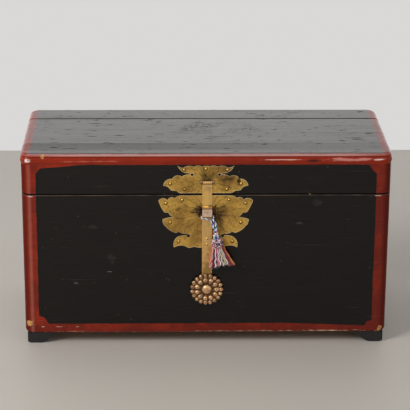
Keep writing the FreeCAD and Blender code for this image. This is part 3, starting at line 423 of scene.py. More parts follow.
def old_boards(add, place, axes, polish, relief):
    """The lid's polish and relief, and how dull it is.

    Its boards are dented, crackled in the middle, and cupped in front of the front joint.
    """
    # dents of about 14 by 3 mm, in clusters
    dents = streaks(add, place, (0.22, 1, 1), 6 * MM, 4.0)
    cluster = add("TexNoise", place, 1 / (70 * MM), 2.0)[0]
    dents = add("Math", cluster, 0.22, dents, operation="MULTIPLY_ADD")
    dent = add("MapRange", dents, 0.75, 0.80)
    # crackle in cells of 8 by 13 mm, in an oval near the middle
    cells = add("Mapping", inputs={"Vector": place, "Scale": (0.6, 1, 1)})
    edge = add("TexVoronoi", cells, 1 / (8 * MM), feature="DISTANCE_TO_EDGE")
    off_middle = add("VectorMath", place, CRACKLE_SPOT, operation="SUBTRACT")
    spread = add("VectorMath", off_middle, (0.4, 1, 1), operation="MULTIPLY")
    reach = add("VectorMath", spread, operation="LENGTH")
    crack = add("MapRange", edge, 0.12, 0.04)
    crazed = add("MapRange", reach, 58 * MM, 30 * MM)
    patchy = add("MapRange", cluster, 0.44, 0.6, 0, 0.5)
    crazed = add("Math", crazed, patchy, operation="MULTIPLY")
    crack = add("Math", crack, crazed, operation="MULTIPLY")
    pit = add("Math", dent, crack, operation="MAXIMUM")
    # long dull streaks 16 mm apart
    streak = add("MapRange", streaks(add, place, (0.03, 1, 1), 16 * MM, 4.0), 0.50, 0.72)
    # the back joint is black with dirt for 3 mm each side
    dirt = band(add, axes[1], BACK_JOINT_Y, 4.2 * MM, 2.0 * MM, 0.9)
    dull = add("Math", pit, dirt, operation="MAXIMUM")
    dull = add("Math", streak, 0.16, dull, operation="MULTIPLY_ADD", use_clamp=True)
    polish = add("Mix", dull, polish, 0.8)
    # a step of 4 mm at the joint that evens out 52 mm in front of it, less to the right
    before = add("Math", FRONT_JOINT_Y, axes[1], operation="SUBTRACT")
    ahead = add("Math", before, 0, operation="GREATER_THAN")
    fall = add("MapRange", before, 0, 52 * MM, 1, 0)
    fall = add("Math", fall, 1.25, operation="POWER")
    cup = add("Math", fall, ahead, operation="MULTIPLY")
    depth = add("MapRange", axes[0], -0.1, 0.33, 8.0, 3.0)
    cupped = add("Math", cup, depth, relief, operation="MULTIPLY_ADD")
    relief = add("Math", pit, -0.5, cupped, operation="MULTIPLY_ADD")
    return polish, relief, dull


def lacquer(name, colours, panel, spots, marks, is_lid=False):
    """Oil lacquer brushed over wood and rubbed: a clear gloss, faint brush lines, worn and chipped edges.

    A black panel lies on a red ground, and the wood inside the chest is bare. The lid's boards are older.
    """
    made, add, place = new_material(name)
    axes = add("SeparateXYZ", place)
    black = panel_mask(add, place, *panel)
    # cloudy wear 60 mm across, and brush lines 3 mm apart that run along the boards
    cloud = add("TexNoise", place, 1 / (60 * MM), 6.0)[0]
    lines = streaks(add, place, ALONG_BOARDS, 3 * MM, 5.0)
    wear = add("MapRange", cloud, 0.38, 0.68, 0, 0.35 if is_lid else 0.8, interpolation_type="SMOOTHSTEP")
    mottle = add("TexNoise", place, 1 / (11 * MM), 6.0)[0]
    mottle = add("MapRange", mottle, 0.35, 0.75, -0.12, 0.18 if is_lid else 0.42)
    wear = add("Math", wear, mottle, operation="ADD")
    # the red is darker near the floor and on the lid's face, and painted shade darkens it towards the walls'
    # right end
    low = add("MapRange", axes[2], BASE_Z + 45 * MM, BASE_Z + 8 * MM, 0, 0.55)
    right = add("MapRange", axes[0], *RIGHT_PART, 0, 0 if is_lid else 0.6)
    face = add("MapRange", axes[2], TOP_Z - 2.5 * MM, TOP_Z - 0.5 * MM, 0, 0.7)
    darker_red = add("Math", low, right, operation="MAXIMUM")
    darker_red = add("Math", darker_red, face, operation="MAXIMUM")
    wear = add("Math", wear, darker_red, operation="ADD", use_clamp=True)
    red = add("Mix", wear, colours.red_lacquer, colours.worn_and_shaded_red, data_type="RGBA")
    dark = add("Mix", lines, colours.black_lacquer, colours.brown_black, data_type="RGBA")
    if is_lid:
        # the arris round the lid's top is rubbed pale and carries a painted highlight
        from_middle = add("Math", axes[0], operation="ABSOLUTE")
        ends = add("MapRange", from_middle, 0.28, 0.35, 0.32, 0.08)
        arris = band(add, axes[2], TOP_Z - 3.4 * MM, 2.2 * MM, 0.8 * MM, ends)
        red = add("Mix", arris, red, colours.worn_arris_and_highlight, data_type="RGBA")
    else:
        shaded_corners, line = corner_masks(add, axes)
        # painted highlight beside the left front corner, painted shade on both front corners
        red = add("Mix", line, red, colours.corner_highlight, data_type="RGBA")
        red = add("Mix", shaded_corners, red, colours.shaded_red, data_type="RGBA")
    paint = add("Mix", black, red, dark, data_type="RGBA")
    # painted highlight under the seam, with dust and scratches
    rubbed = seam_highlight_and_dust_mask(add, place, axes, lines)
    paint = add("Mix", rubbed, paint, colours.dust_and_seam_highlight, data_type="RGBA")
    seam = band(add, axes[2], SEAM_Z - 0.5 * MM, 1.8 * MM, 1.3 * MM)
    paint = add("Mix", seam, paint, colours.black_lacquer, data_type="RGBA")
    # marks break up in flecks 5 mm wide, 20 mm long on the lid and 10 mm on the walls
    fleck = streaks(add, place, (0.25 if is_lid else 0.5, 1, 1), 5 * MM, 4.0)
    paint = oval_marks(add, place, fleck, paint, marks)

    # bare wood: grain 2 mm wide that runs along the boards
    grain = add("MapRange", streaks(add, place, ALONG_BOARDS, 2 * MM, 3.0), 0.42, 0.8)
    wood = add("Mix", grain, colours.bare_wood, colours.dark_grain, data_type="RGBA")
    chip = chip_mask(add, place, axes, spots)
    bare = add("Math", chip, inside_mask(add, axes), operation="MAXIMUM")
    skin = add("Mix", bare, paint, wood, data_type="RGBA")

    polish = add("MapRange", lines, 0.3, 0.7, 0.14, 0.30)
    relief = add("Math", lines, 0.3, cloud, operation="MULTIPLY_ADD")
    if is_lid:
        polish, relief, dull = old_boards(add, place, axes, polish, relief)
        # less light comes off the red border and off the right end
        border = add("MapRange", black, 0, 1, 0.30, 0.5)
        right = add("MapRange", axes[0], *RIGHT_PART, 1, 0.84)
        level = add("Math", border, right, operation="MULTIPLY")
        level = add("MapRange", dull, 0, 1, level, 0.1)
    else:
        dull = add("Math", seam, shaded_corners, operation="MAXIMUM")
        level = add("MapRange", dull, 0, 1, 0.37, 0.05)
    gloss = add("Mix", bare, polish, 0.6)
    surface(add, (relief, 1.0, 0.5 * MM), Base_Color=skin, Roughness=gloss,
            IOR=1.44, Specular_IOR_Level=level)
    return made


def satin_lacquer(colours):
    """Thin black lacquer on the feet, scuffed dull by the floor."""
    made, add, place = new_material("Satin Black Lacquer")
    scuff = add("TexNoise", place, 1 / (8 * MM), 6.0)[0]
    skin = add("Mix", scuff, colours.foot_black, colours.brown_black, data_type="RGBA")
    dull = add("MapRange", scuff, 0, 1, 0.35, 0.6)
    surface(add, (scuff, 0.3, 0.4 * MM), Base_Color=skin, Roughness=dull, IOR=1.5)
    return made


def planed_wood(colours):
    """Planed camphor wood: long pale grain with darker lines 2 mm apart."""
    made, add, place = new_material("Planed Camphor Wood")
    grain = streaks(add, place, ALONG_BOARDS, 2 * MM, 4.0)
    skin = add("Mix", grain, colours.bare_wood, colours.dark_grain, data_type="RGBA")
    surface(add, (grain, 0.3, 0.3 * MM), Base_Color=skin, Roughness=0.62)
    return made


def engraved_brass(name, colours, centre_z, veins, stains, marks, pin_shade):
    """Sheet brass, hand-cut and engraved: dull gold, brown stain in the lines and round the hasp, painted
    shade behind the pin and beside the bridge, and painted highlights on the cut edges.

    The engraved lines fan out from the hasp: their angle times a count, less its whole part, is 0.5 on a
    line, and the distance from 0.5 times the radius is the distance from the line. A stain, which beside
    the bridge is partly painted shade, is its place across and up from the hasp, its reach and its strength.
    """
    made, add, place = new_material(name)
    from_hasp = add("VectorMath", place, (HASP_X, PLATE_Y, centre_z), operation="SUBTRACT")
    sway = add("TexNoise", place, 1 / (30 * MM), 2.0)[0]
    axes = add("SeparateXYZ", from_hasp)
    across = add("Math", axes[0], operation="ABSOLUTE")
    angle = add("Math", axes[2], across, operation="ARCTAN2")
    radius = add("VectorMath", from_hasp, operation="LENGTH")
    swayed = add("Math", sway, 0.7, angle, operation="MULTIPLY_ADD")
    counted = add("Math", swayed, veins / math.pi, operation="MULTIPLY")
    share = add("Math", counted, operation="FRACT")
    reach = add("Math", off_level(add, share, 0.5), radius, operation="MULTIPLY")
    gap = add("Math", reach, math.pi / veins, operation="MULTIPLY")
    # the lines are 1.3 mm wide, wider than an engraver's, so that they show
    line = add("MapRange", gap, 1.0 * MM, 0.3 * MM, interpolation_type="SMOOTHSTEP")
    outer = add("MapRange", radius, 88 * MM, 56 * MM, 0, 0.75)
    inner = add("MapRange", radius, 12 * MM, 30 * MM, 0.2, 1.0)
    line = add("Math", line, outer, operation="MULTIPLY")
    line = add("Math", line, inner, operation="MULTIPLY")

    # dull clouds 45 mm across, shifted until they lie as the real ones do, stains, and specks of 5 mm
    shifted = add("VectorMath", place, (310 * MM, 0, 70 * MM), operation="ADD")
    broad = add("TexNoise", shifted, 1 / (45 * MM), 4.0)[0]
    cloud = add("TexNoise", place, 1 / (17 * MM), 6.0)[0]
    speck = add("TexNoise", place, 1 / (5 * MM), 6.0)[0]
    dulled = add("MapRange", broad, 0.42, 0.66, 0, 0.8, interpolation_type="SMOOTHSTEP")
    sheet = add("Mix", dulled, colours.brass, colours.dull_brass, data_type="RGBA")
    stain = cloud
    for spot_x, spot_z, stain_reach, strength in stains:
        away = add("VectorMath", from_hasp, (spot_x * MM, 0, spot_z * MM), operation="DISTANCE")
        near = add("MapRange", away, stain_reach * MM, stain_reach * 0.2 * MM, 0, strength)
        stain = add("Math", stain, near, operation="ADD")
    stain = add("MapRange", stain, 0.46, 1.0, 0, 0.95, interpolation_type="SMOOTHSTEP")
    dark = add("Math", line, 0.7, stain, operation="MULTIPLY_ADD", use_clamp=True)
    mottle = add("MapRange", speck, 0.46, 0.74, 0, 0.55)
    dark = add("Math", dark, mottle, operation="MAXIMUM")
    if pin_shade:
        # painted shade behind the pin and its eyes, 32 mm wide and 9 mm high
        height = add("Math", axes[2], operation="ABSOLUTE")
        in_x = add("MapRange", across, 18 * MM, 13.5 * MM)
        in_z = add("MapRange", height, 6.4 * MM, 3 * MM, 0, 0.8)
        behind = add("Math", in_x, in_z, operation="MULTIPLY")
        dark = add("Math", dark, behind, operation="MAXIMUM")
    skin = add("Mix", dark, sheet, colours.tarnish, data_type="RGBA")
    # painted highlight: the cut edges are lighter for 1 mm, where a rounded edge would lean away from the
    # face and catch the light
    rounded = add("Bevel", 3.0 * MM, samples=8)
    lean = add("VectorTransform", rounded, vector_type="NORMAL", convert_from="WORLD", convert_to="OBJECT")
    facing = add("VectorMath", lean, (0, -1, 0), operation="DOT_PRODUCT")
    uneven = add("MapRange", cloud, 0.36, 0.6, 0.9, 0.3)
    rim = add("MapRange", facing, 0.985, 0.88, 0, uneven)
    skin = add("Mix", rim, skin, colours.edge_highlight, data_type="RGBA")
    skin = oval_marks(add, place, speck, skin, marks)
    dull = add("MapRange", dark, 0, 1, 0.36, 0.66)
    height = add("Math", line, -1, speck, operation="MULTIPLY_ADD")
    surface(add, (height, 0.4, 0.3 * MM), Base_Color=skin, Metallic=0.7, Roughness=dull)
    return made


def worn_metal(name, bright, dark, stretch, grain_mm, roughness, face=None, marks=()):
    """Drawn or rubbed metal: bright where it is handled, brown in soft clouds, fine lines one way.

    A face colour makes it the strap's: the face stands more than 10 mm out from the chest, painted shade
    lies under the roll, along its top and under the bridge, and darker bands lie on the upper ramp.
    """
    made, add, place = new_material(name)
    cloud = add("TexNoise", place, 1 / (16 * MM), 6.0)[0]
    lines = streaks(add, place, stretch, grain_mm * MM, 4.0)
    stain = add("MapRange", cloud, 0.46, 0.86, 0, 0.6, interpolation_type="SMOOTHSTEP")
    streak = add("MapRange", lines, 0.45, 0.8, 0, 0.3)
    mix = add("Math", stain, streak, operation="MAXIMUM")
    if face is not None:
        axes = add("SeparateXYZ", place)
        raised = add("MapRange", axes[1], FRONT_Y - 9 * MM, FRONT_Y - 11 * MM)
        bright = add("Mix", raised, bright, face, data_type="RGBA")
        side = off_level(add, axes[0], HASP_X)
        # painted highlights along its long edges, and painted shade at its roll's ends
        rim = add("MapRange", side, 7.6 * MM, 9.4 * MM, 1.0, 0.3)
        mix = add("Math", mix, rim, operation="MULTIPLY")
        rolled = add("Math", axes[2], PIN_Z - 5 * MM, operation="GREATER_THAN")
        end = add("MapRange", side, 9.0 * MM, 9.4 * MM, 0, rolled)
        mix = add("Math", mix, end, operation="MAXIMUM")
        for level, half, amount in STRAP_DARK_BANDS:
            line = band(add, axes[2], level, half, half / 2, amount)
            mix = add("Math", mix, line, operation="MAXIMUM")
    skin = add("Mix", mix, bright, dark, data_type="RGBA")
    skin = oval_marks(add, place, cloud, skin, marks)
    dull = add("MapRange", mix, 0, 1, roughness, roughness + 0.25)
    surface(add, (lines, 0.25, 0.2 * MM), Base_Color=skin, Metallic=0.8, Roughness=dull)
    return made


def cast_bronze(colours):
    """Cast bronze, brown in its hollows and rubbed reddish gold on its raised petals, with painted highlight
    lobes that carry each petal on over the flat plate.

    Each petal is cupped: the angle round the rosette times a ring's count, less its nearest whole number,
    times the spacing, is the distance to the petal's middle along the ring.
    """
    made, add, place = new_material("Cast Bronze")
    centred = add("VectorMath", place, (HASP_X, ROSETTE_BACK_Y, ROSETTE_Z), operation="SUBTRACT")
    axes = add("SeparateXYZ", centred)
    angle = add("Math", axes[2], axes[0], operation="ARCTAN2")
    flat = add("CombineXYZ", axes[0], 0, axes[2])
    radius = add("VectorMath", flat, operation="LENGTH")
    grain = add("TexNoise", place, 1 / (3 * MM), 5.0)[0]
    hollow, petals = None, 0.0
    for count, ring_radius, cup, half_petal in ROSETTE_RINGS:
        turned = add("Math", angle, count / math.tau, operation="MULTIPLY")
        nearest = add("Math", turned, operation="ROUND")
        part = add("Math", turned, nearest, operation="SUBTRACT")
        along = add("Math", part, math.tau * ring_radius / count, operation="MULTIPLY")
        inward = add("Math", radius, ring_radius, operation="SUBTRACT")
        from_middle = add("CombineXYZ", along, inward)
        # painted highlight: each petal runs on over the flat plate as a lighter lobe, long and ragged
        share = add("VectorMath", from_middle, half_petal, operation="DIVIDE")
        reach = add("VectorMath", share, operation="LENGTH")
        reach = add("Math", grain, 0.9, reach, operation="MULTIPLY_ADD")
        petal = add("MapRange", reach, 1.45, 1.1, 0, 0.5)
        petals = add("Math", petals, petal, operation="MAXIMUM")
        away = add("VectorMath", from_middle, operation="LENGTH")
        ragged = add("Math", grain, 2.4 * MM, away, operation="MULTIPLY_ADD")
        dip = add("MapRange", ragged, cup + 1.4 * MM, 1.6 * MM, interpolation_type="SMOOTHSTEP")
        hollow = dip if hollow is None else add("Math", hollow, dip, operation="MAXIMUM")
    crest = ROSETTE_FRONT_Y - ROSETTE_BACK_Y + 0.6 * MM
    rise = add("MapRange", axes[1], -4.0 * MM, crest, interpolation_type="SMOOTHSTEP")
    # no two petals are worn alike: the wear comes in patches of 8 mm
    patch = add("TexNoise", place, 1 / (8 * MM), 4.0)[0]
    worn = add("MapRange", patch, 0.36, 0.62, 0.45, 1.15)
    ring = add("MapRange", radius, 11.5 * MM, 14.0 * MM, 0.3, 1.0)
    dome = add("MapRange", radius, 11.0 * MM, 10.0 * MM)
    ring = add("Math", ring, dome, operation="MAXIMUM")
    raised = add("Math", rise, petals, operation="MAXIMUM")
    rubbed = add("Math", raised, worn, operation="MULTIPLY")
    rubbed = add("Math", rubbed, ring, operation="MULTIPLY")
    skin = add("Mix", rubbed, colours.bronze_shade, colours.bronze, data_type="RGBA")
    darkening = add("Math", hollow, 0.5, operation="MULTIPLY")
    skin = add("Mix", darkening, skin, colours.tarnish, data_type="RGBA")
    dull = add("MapRange", rubbed, 0, 1, 0.6, 0.36)
    height = add("Math", hollow, -1.6, grain, operation="MULTIPLY_ADD")
    surface(add, (height, 0.8, 1.2 * MM), Base_Color=skin, Metallic=0.8, Roughness=dull)
    return made


def silk_floss(name):
    """Dyed silk floss: soft, with a pale sheen along its edges and a fine uneven twist."""
    made, add, place = new_material(name)
    dye = add("Attribute", attribute_name="floss")["Color"]
    twist = add("TexNoise", place, 1 / (1.2 * MM), 3.0)[0]
    shade = add("MapRange", twist, 0.3, 0.7, 0.8, 1.2)
    skin = add("VectorMath", dye, shade, operation="MULTIPLY")
    surface(add, (twist, 0.4, 0.2 * MM), Base_Color=skin, Roughness=0.55,
            Sheen_Weight=0.35, Sheen_Roughness=0.4)
    return made


# Tassel


def tassel_frame():
    """The tassel's own axes as rows: across, out from the chest and down, turned by its lean."""
    c, s = math.cos(TASSEL_LEAN), math.sin(TASSEL_LEAN)
    return np.array([[c, 0, s], [0, -1, 0], [s, 0, -c]])


def in_frame(route):
    """A route's points in the frame, in metres."""
    base = np.array([HASP_X, FRONT_Y, BRIDGE_Z - HALF_BRIDGE])
    return base + np.array(route) * MM * (1, -1, 1)


def smooth_route(name, points):
    """Points along a smooth spline whose control points are the route's."""
    line = bpy.data.curves.new(name, "CURVE")
    line.dimensions = "3D"
    line.resolution_u = 12
    spline = line.splines.new("NURBS")
    spline.points.add(len(points) - 1)
    spline.points.foreach_set("co", np.hstack([points, np.ones((len(points), 1))]).ravel())
    spline.order_u = 3
    spline.use_endpoint_u = True
    holder = bpy.data.objects.new(name, line)
    bpy.context.scene.collection.objects.link(holder)
    bpy.context.view_layer.update()
    mesh = bpy.data.meshes.new_from_object(holder)
    spots = points_of(mesh)
    bpy.data.objects.remove(holder)
    bpy.data.meshes.remove(mesh)
    bpy.data.curves.remove(line)
    return spots


FLOSS = {name: linear(code) for name, code in {
    "salmon": "EE9486", "crimson": "A51E30", "plum": "561F42", "white": "FBF7F5", "cream": "EAD9A8",
    "mauve": "A07C98", "orange": "E8904E", "rose": "D0506A", "blush": "F2C4C4", "sky": "9CC4E6",
    "navy": "26386E",
}.items()}


def twisted_cord(name, route, thickness, sizes):
    """Twisted plies: ply k turns about the route at angle 2 pi s / pitch + 2 pi k / plies, s along it.

    The thickness is pairs of a share of the way along and the cord's diameter there.
    """
    plies = sizes.cord_plies
    step = np.linalg.norm(np.diff(route, axis=0), axis=1)
    run = np.concatenate([[0], np.cumsum(step)])
    along = np.gradient(route, axis=0)
    along /= np.linalg.norm(along, axis=1, keepdims=True)
    # no run of the route points this way, so the plies never flip over
    clear_way = np.array([0, 0.8, -0.6])
    across = np.cross(along, clear_way)
    across /= np.linalg.norm(across, axis=1, keepdims=True)
    third = np.cross(along, across)
    half = np.interp(run / run[-1], *zip(*thickness)) / 2
    ply_radius = half / (1 + 1 / math.sin(math.pi / plies))
    turn = 2 * np.pi * (run / sizes.cord_pitch + np.arange(plies)[:, None] / plies)[..., None]
    spin = np.cos(turn) * across + np.sin(turn) * third
    paths = route + (half - ply_radius)[:, None] * spin
    # the plies are pressed together
    swell = 1.08
    mesh = tube_mesh(name, paths, np.tile(ply_radius * swell, (plies, 1)), 8, clear_way)
    tint(mesh, np.array([FLOSS["white"], FLOSS["sky"], FLOSS["navy"]])[np.arange(plies) % 3])
    return mesh


def knot(name, centre, axes, rings):
    """A knot of rings of beads: balls whose radius at a polar angle p is the bead's times sin p.

    A ring is its drop along the axis, its radius, a bead's radius and the beads' dyes.
    """
    pole_gap, first_bead = 0.06, 0.68
    polar = np.linspace(pole_gap, np.pi - pole_gap, 9)
    paths, radii, dyes = [], [], []
    for drop, ring_radius, bead_radius, names in rings:
        turn = 2 * np.pi * (np.arange(len(names)) / len(names) + first_bead)[:, None]
        middle = centre + drop * axes[2] + ring_radius * (np.cos(turn) * axes[0] + np.sin(turn) * axes[1])
        paths.append(middle[:, None] - bead_radius * np.cos(polar)[:, None] * axes[2])
        radii.append(np.tile(bead_radius * np.sin(polar), (len(names), 1)))
        dyes += [FLOSS[dye] for dye in names]
    mesh = tube_mesh(name, np.concatenate(paths), np.concatenate(radii), 10, axes[1])
    tint(mesh, np.array(dyes))
    return mesh


# Name, place as on the cord's route, and rings
KNOTS = [
    ("tassel_upper_knot", (17.0, 14.2, -32.4), [
        (-1.6 * MM, 2.8 * MM, 2.3 * MM, ("plum", "mauve", "mauve", "plum", "mauve")),
        (2.0 * MM, 3.2 * MM, 2.4 * MM, ("white", "mauve", "blush", "white", "plum"))]),
    ("tassel_lower_knot", (18.4, 14.2, -42.5), [
        (-3.4 * MM, 3.2 * MM, 2.6 * MM, ("white", "sky", "white", "mauve", "white")),
        (1.0 * MM, 3.4 * MM, 2.9 * MM, ("sky", "navy", "sky", "navy", "sky")),
        (5.2 * MM, 2.4 * MM, 2.6 * MM, ("white", "sky", "white", "sky"))]),
]
HEAD_LENGTH, HEAD_RADIUS = 20 * MM, 10.5 * MM
# Shares of the head's profile at the loops' feet and at the core, and the radius of a loop's floss
LOOP_SHARE, CORE_SHARE, FLOSS_RADIUS = 0.84, 0.8, 0.52 * MM
SKIRT_LENGTH, SKIRT_OVERLAP, SKIRT_WAVE = 46 * MM, 3 * MM, 1.7 * MM
# Half widths of the skirt across and out from the chest, where it leaves the head and at its foot
NECK_OVAL, HEM_OVAL = (11.5 * MM, 6.4 * MM), (26.4 * MM, 8.2 * MM)
# Shares of the oval between rows of locks, and the scatter of threads about their lock
ROW_GAP, THREAD_SCATTER = 0.8, (0.022, 0.12)


def head_profile(down):
    """The head's radius at a share of its length: a round bulge, narrow at the crown, wider at the neck."""
    return HEAD_RADIUS * (0.36 + 0.62 * np.sin(np.pi * np.clip(down, 0, 1) ** 0.8) + 0.34 * down ** 2)


def head_core(top, axes):
    """The wrapped core: circles of a share of the head's profile along its axis."""
    down = np.linspace(0.02, 1.0, 14)
    path = top + down[:, None] * HEAD_LENGTH * axes[2]
    mesh = tube_mesh("tassel_head_core", path[None], CORE_SHARE * head_profile(down)[None], 24, axes[1])
    tint(mesh, np.array([FLOSS["plum"]]))
    return mesh


def head_loops(count, top, axes):
    """Loops of floss on the head: half circles that stand on the profile and lean at random."""
    draw = np.random.default_rng(11)
    down = draw.uniform(0.08, 0.98, count)
    around = draw.uniform(0, 2 * np.pi, count)
    spin = draw.uniform(0, np.pi, count)
    size = draw.uniform(1.6, 3.0, count) * MM
    outward = np.cos(around)[:, None] * axes[0] + np.sin(around)[:, None] * axes[1]
    side = np.cross(outward, axes[2])
    lean = np.cos(spin)[:, None] * side + np.sin(spin)[:, None] * axes[2]
    stand = LOOP_SHARE * head_profile(down)
    foot = top + down[:, None] * HEAD_LENGTH * axes[2] + stand[:, None] * outward
    arc = np.linspace(0, np.pi, 8)[:, None]
    paths = foot[:, None] + size[:, None, None] * (
        np.cos(arc) * lean[:, None] + np.sin(arc) * outward[:, None] * 1.1)
    reference = np.cross(lean, outward)[:, None]
    mesh = tube_mesh("tassel_head_loops", paths, np.full(paths.shape[:2], FLOSS_RADIUS), 5, reference)
    names = ["plum", "plum", "mauve", "rose", "blush", "white", "white", "blush"]
    tint(mesh, np.array([FLOSS[n] for n in names])[draw.integers(0, len(names), count)])
    return mesh


# Colours of the skirt's locks from its left to its right
LOCKS = ["salmon", "blush", "crimson", "plum", "white", "navy", "rose", "salmon", "white", "crimson",
         "white", "plum", "cream", "white", "mauve", "crimson", "crimson", "orange"]


def skirt_threads(threads, top, axes):
    """Threads that spread from the neck to the hem, in three rows of locks of one colour.

    A lock has a spot in the neck's oval and one in the hem's; a thread lies near its lock's spot, and
    its sideways way at share t is neck + (hem - neck) t ** 1.15, with a slight wave.
    """
    draw = np.random.default_rng(5)
    columns, rows = len(LOCKS), 3
    locks = columns * rows
    count = locks * threads
    column, row = np.divmod(np.arange(locks), rows)
    across = (2 * column + 1) / columns - 1 + draw.uniform(-0.04, 0.04, locks)
    out = (row - 1) * ROW_GAP * np.sqrt(np.maximum(1 - across ** 2, 0.04))
    spot = np.repeat(np.stack([across, out], axis=1), threads, axis=0)
    spot = spot + draw.normal(0, 1, (count, 2)) * THREAD_SCATTER
    neck = spot * NECK_OVAL
    hem = spot * HEM_OVAL
    lock_drop = SKIRT_LENGTH * np.repeat(draw.uniform(0.88, 1.02, locks), threads)
    drop = lock_drop * draw.uniform(0.96, 1.0, count)
    share = np.linspace(0, 1, 14)
    phase = np.repeat(draw.uniform(0, 1, locks), threads)[:, None] + draw.uniform(0, 0.12, (count, 1))
    turns = np.repeat(draw.uniform(1.6, 3.2, locks), threads)[:, None]
    wave = SKIRT_WAVE * share * np.sin(2 * np.pi * (share * turns + phase))
    sideways = neck[:, None] + (hem - neck)[:, None] * (share ** 1.15)[:, None]
    start = top + (HEAD_LENGTH - SKIRT_OVERLAP) * axes[2]
    paths = (start + (sideways[..., :1] + wave[..., None]) * axes[0] + sideways[..., 1:] * axes[1]
             + (drop[:, None] * share)[..., None] * axes[2])
    thin = np.interp(share, [0, 0.85, 1], [0.55, 0.55, 0.35]) * MM
    mesh = tube_mesh("tassel_skirt_threads", paths, np.tile(thin, (count, 1)), 4, axes[1])
    picked = np.clip(column + draw.integers(-1, 2, locks) * (row != 2), 0, columns - 1)
    dyes = np.array([FLOSS[name] for name in LOCKS])[picked]
    tint(mesh, np.repeat(dyes, threads, axis=0))
    return mesh


# Dark rings round the nails: radii of a ring's foot and its rim, and how far each stands in from the sheet's
# face

COLLAR_RADII, COLLAR_DEPTHS = (4.3 * MM, 2.7 * MM), (0.05 * MM, -0.12 * MM)


def nail_collars(name, node, sheet_y):
    """Low dark cones round each nail of a node, from the collar's foot to its rim.

    A nail's crown is the vertex that stands furthest out, so the crowns give the nails' places.
    """
    spots = points_of(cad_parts[node].data)
    crowns = spots[spots[:, 1] < spots[:, 1].min() + 0.01 * MM]
    crowns = crowns[np.unique(np.round(crowns, 4), axis=0, return_index=True)[1]]
    paths = np.stack([crowns, crowns], axis=1)
    paths[:, :, 1] = sheet_y + np.array(COLLAR_DEPTHS)
    radii = np.tile(COLLAR_RADII, (len(crowns), 1))
    return tube_mesh(name, paths, radii, 16, np.array([0, 0, 1.0]))


# Operators


class CHEST_OT_stage(bpy.types.Operator):
    """Make the camera, the floor, the lamps and the backdrop"""
    bl_idname = "chest.stage"
    bl_label = "Stage"

    CAMERA_SPOT = (-0.0839, -3.3570, 1.4658)
    PITCH, ROLL, YAW = (math.radians(angle) for angle in (19.076, -0.308, -1.384))
    FOCAL_PIXELS, FRAME_PIXELS, SENSOR = 1750, 410, 36
    FLOOR_REACH, FLOOR_BACK, FLOOR_CLOUDS = 4.0, 1.19, 0.4
    # place, aim, size in metres and power in watts
    LAMPS = {
        "key": ((-2.5, -1.9, 2.3), (0, 0, 0.2), 1.6, 80),
        "fill": ((2.4, -2.2, 1.6), (0, 0, 0.2), 2.0, 8),
    }

    def execute(self, context):
        colours = context.scene.chest_colours
        self.camera(context)
        self.floor(context, colours)
        for name, lamp in self.LAMPS.items():
            self.lamp(context, name, *lamp)
        self.world(context, colours)
        context.scene.view_settings.view_transform = "Standard"
        return {"FINISHED"}

    def camera(self, context):
        """Turn the camera by yaw, then pitch, then roll; its place counts from the chest's front."""
        right = Vector((math.cos(self.YAW), math.sin(self.YAW), 0))
        ahead = Vector((-math.sin(self.YAW), math.cos(self.YAW), 0))
        up = Vector((0, 0, 1))
        forward = ahead * math.cos(self.PITCH) - up * math.sin(self.PITCH)
        above = ahead * math.sin(self.PITCH) + up * math.cos(self.PITCH)
        camera_x = right * math.cos(self.ROLL) - above * math.sin(self.ROLL)
        camera_y = right * math.sin(self.ROLL) + above * math.cos(self.ROLL)
        data = bpy.data.cameras.new("photo_camera")
        data.sensor_width = self.SENSOR
        data.lens = self.FOCAL_PIXELS / self.FRAME_PIXELS * self.SENSOR
        data.clip_end = 50
        camera = bpy.data.objects.new("photo_camera", data)
        context.scene.collection.objects.link(camera)
        spot = Vector(self.CAMERA_SPOT) + Vector((0, FRONT_Y, 0))
        turn = Matrix((camera_x, camera_y, -forward)).transposed().to_4x4()
        camera.matrix_world = Matrix.Translation(spot) @ turn
        context.scene.camera = camera

    def floor(self, context, colours):
        reach, back = self.FLOOR_REACH, self.FLOOR_BACK
        mesh = bpy.data.meshes.new("floor")
        corners = [(-reach, -reach, 0), (reach, -reach, 0), (reach, back, 0), (-reach, back, 0)]
        mesh.from_pydata(corners, [], [(0, 1, 2, 3)])
        made, add, place = new_material("Pale Floor")
        cloud = add("TexNoise", place, 1 / self.FLOOR_CLOUDS, 3.0)[0]
        rough = add("MapRange", cloud, 0, 1, 0.5, 0.65)
        surface(add, Base_Color=colours.floor, Roughness=rough)
        mesh.materials.append(made)
        floor = bpy.data.objects.new("floor", mesh)
        context.scene.collection.objects.link(floor)

    def lamp(self, context, name, spot, aim, size, power):
        data = bpy.data.lights.new(name, "AREA")
        data.size = size
        data.energy = power
        lamp = bpy.data.objects.new(name, data)
        lamp.location = spot
        lamp.rotation_euler = (Vector(aim) - Vector(spot)).to_track_quat("-Z", "Y").to_euler()
        lamp.visible_camera = False
        context.scene.collection.objects.link(lamp)

    def world(self, context, colours):
        """A plain pale backdrop to the eye, half as bright as light, and uneven where it is mirrored."""
        world = bpy.data.worlds.new("backdrop")
        world.use_nodes = True
        world.node_tree.nodes.clear()
        add = partial(add_node, world.node_tree)
        rays = add("LightPath")
        way = add("TexCoord")["Generated"]
        axes = add("SeparateXYZ", way)
        # mirrored, it is bright behind the chest, dimmer before it and brightest overhead
        behind = add("MapRange", axes[1], -0.2, 0.3, 0.8, 1.75)
        overhead = add("MapRange", axes[2], 0.82, 0.92, 1.0, 6.0)
        mirrored = add("Math", behind, overhead, operation="MULTIPLY")
        strength = add("Mix", rays["Is Glossy Ray"], 0.5, mirrored)
        seen = add("Math", rays["Is Camera Ray"], rays["Is Transmission Ray"], operation="MAXIMUM")
        strength = add("Mix", seen, strength, 1.0)
        light = add("Background", colours.backdrop, strength)
        add("OutputWorld", light)
        context.scene.world = world


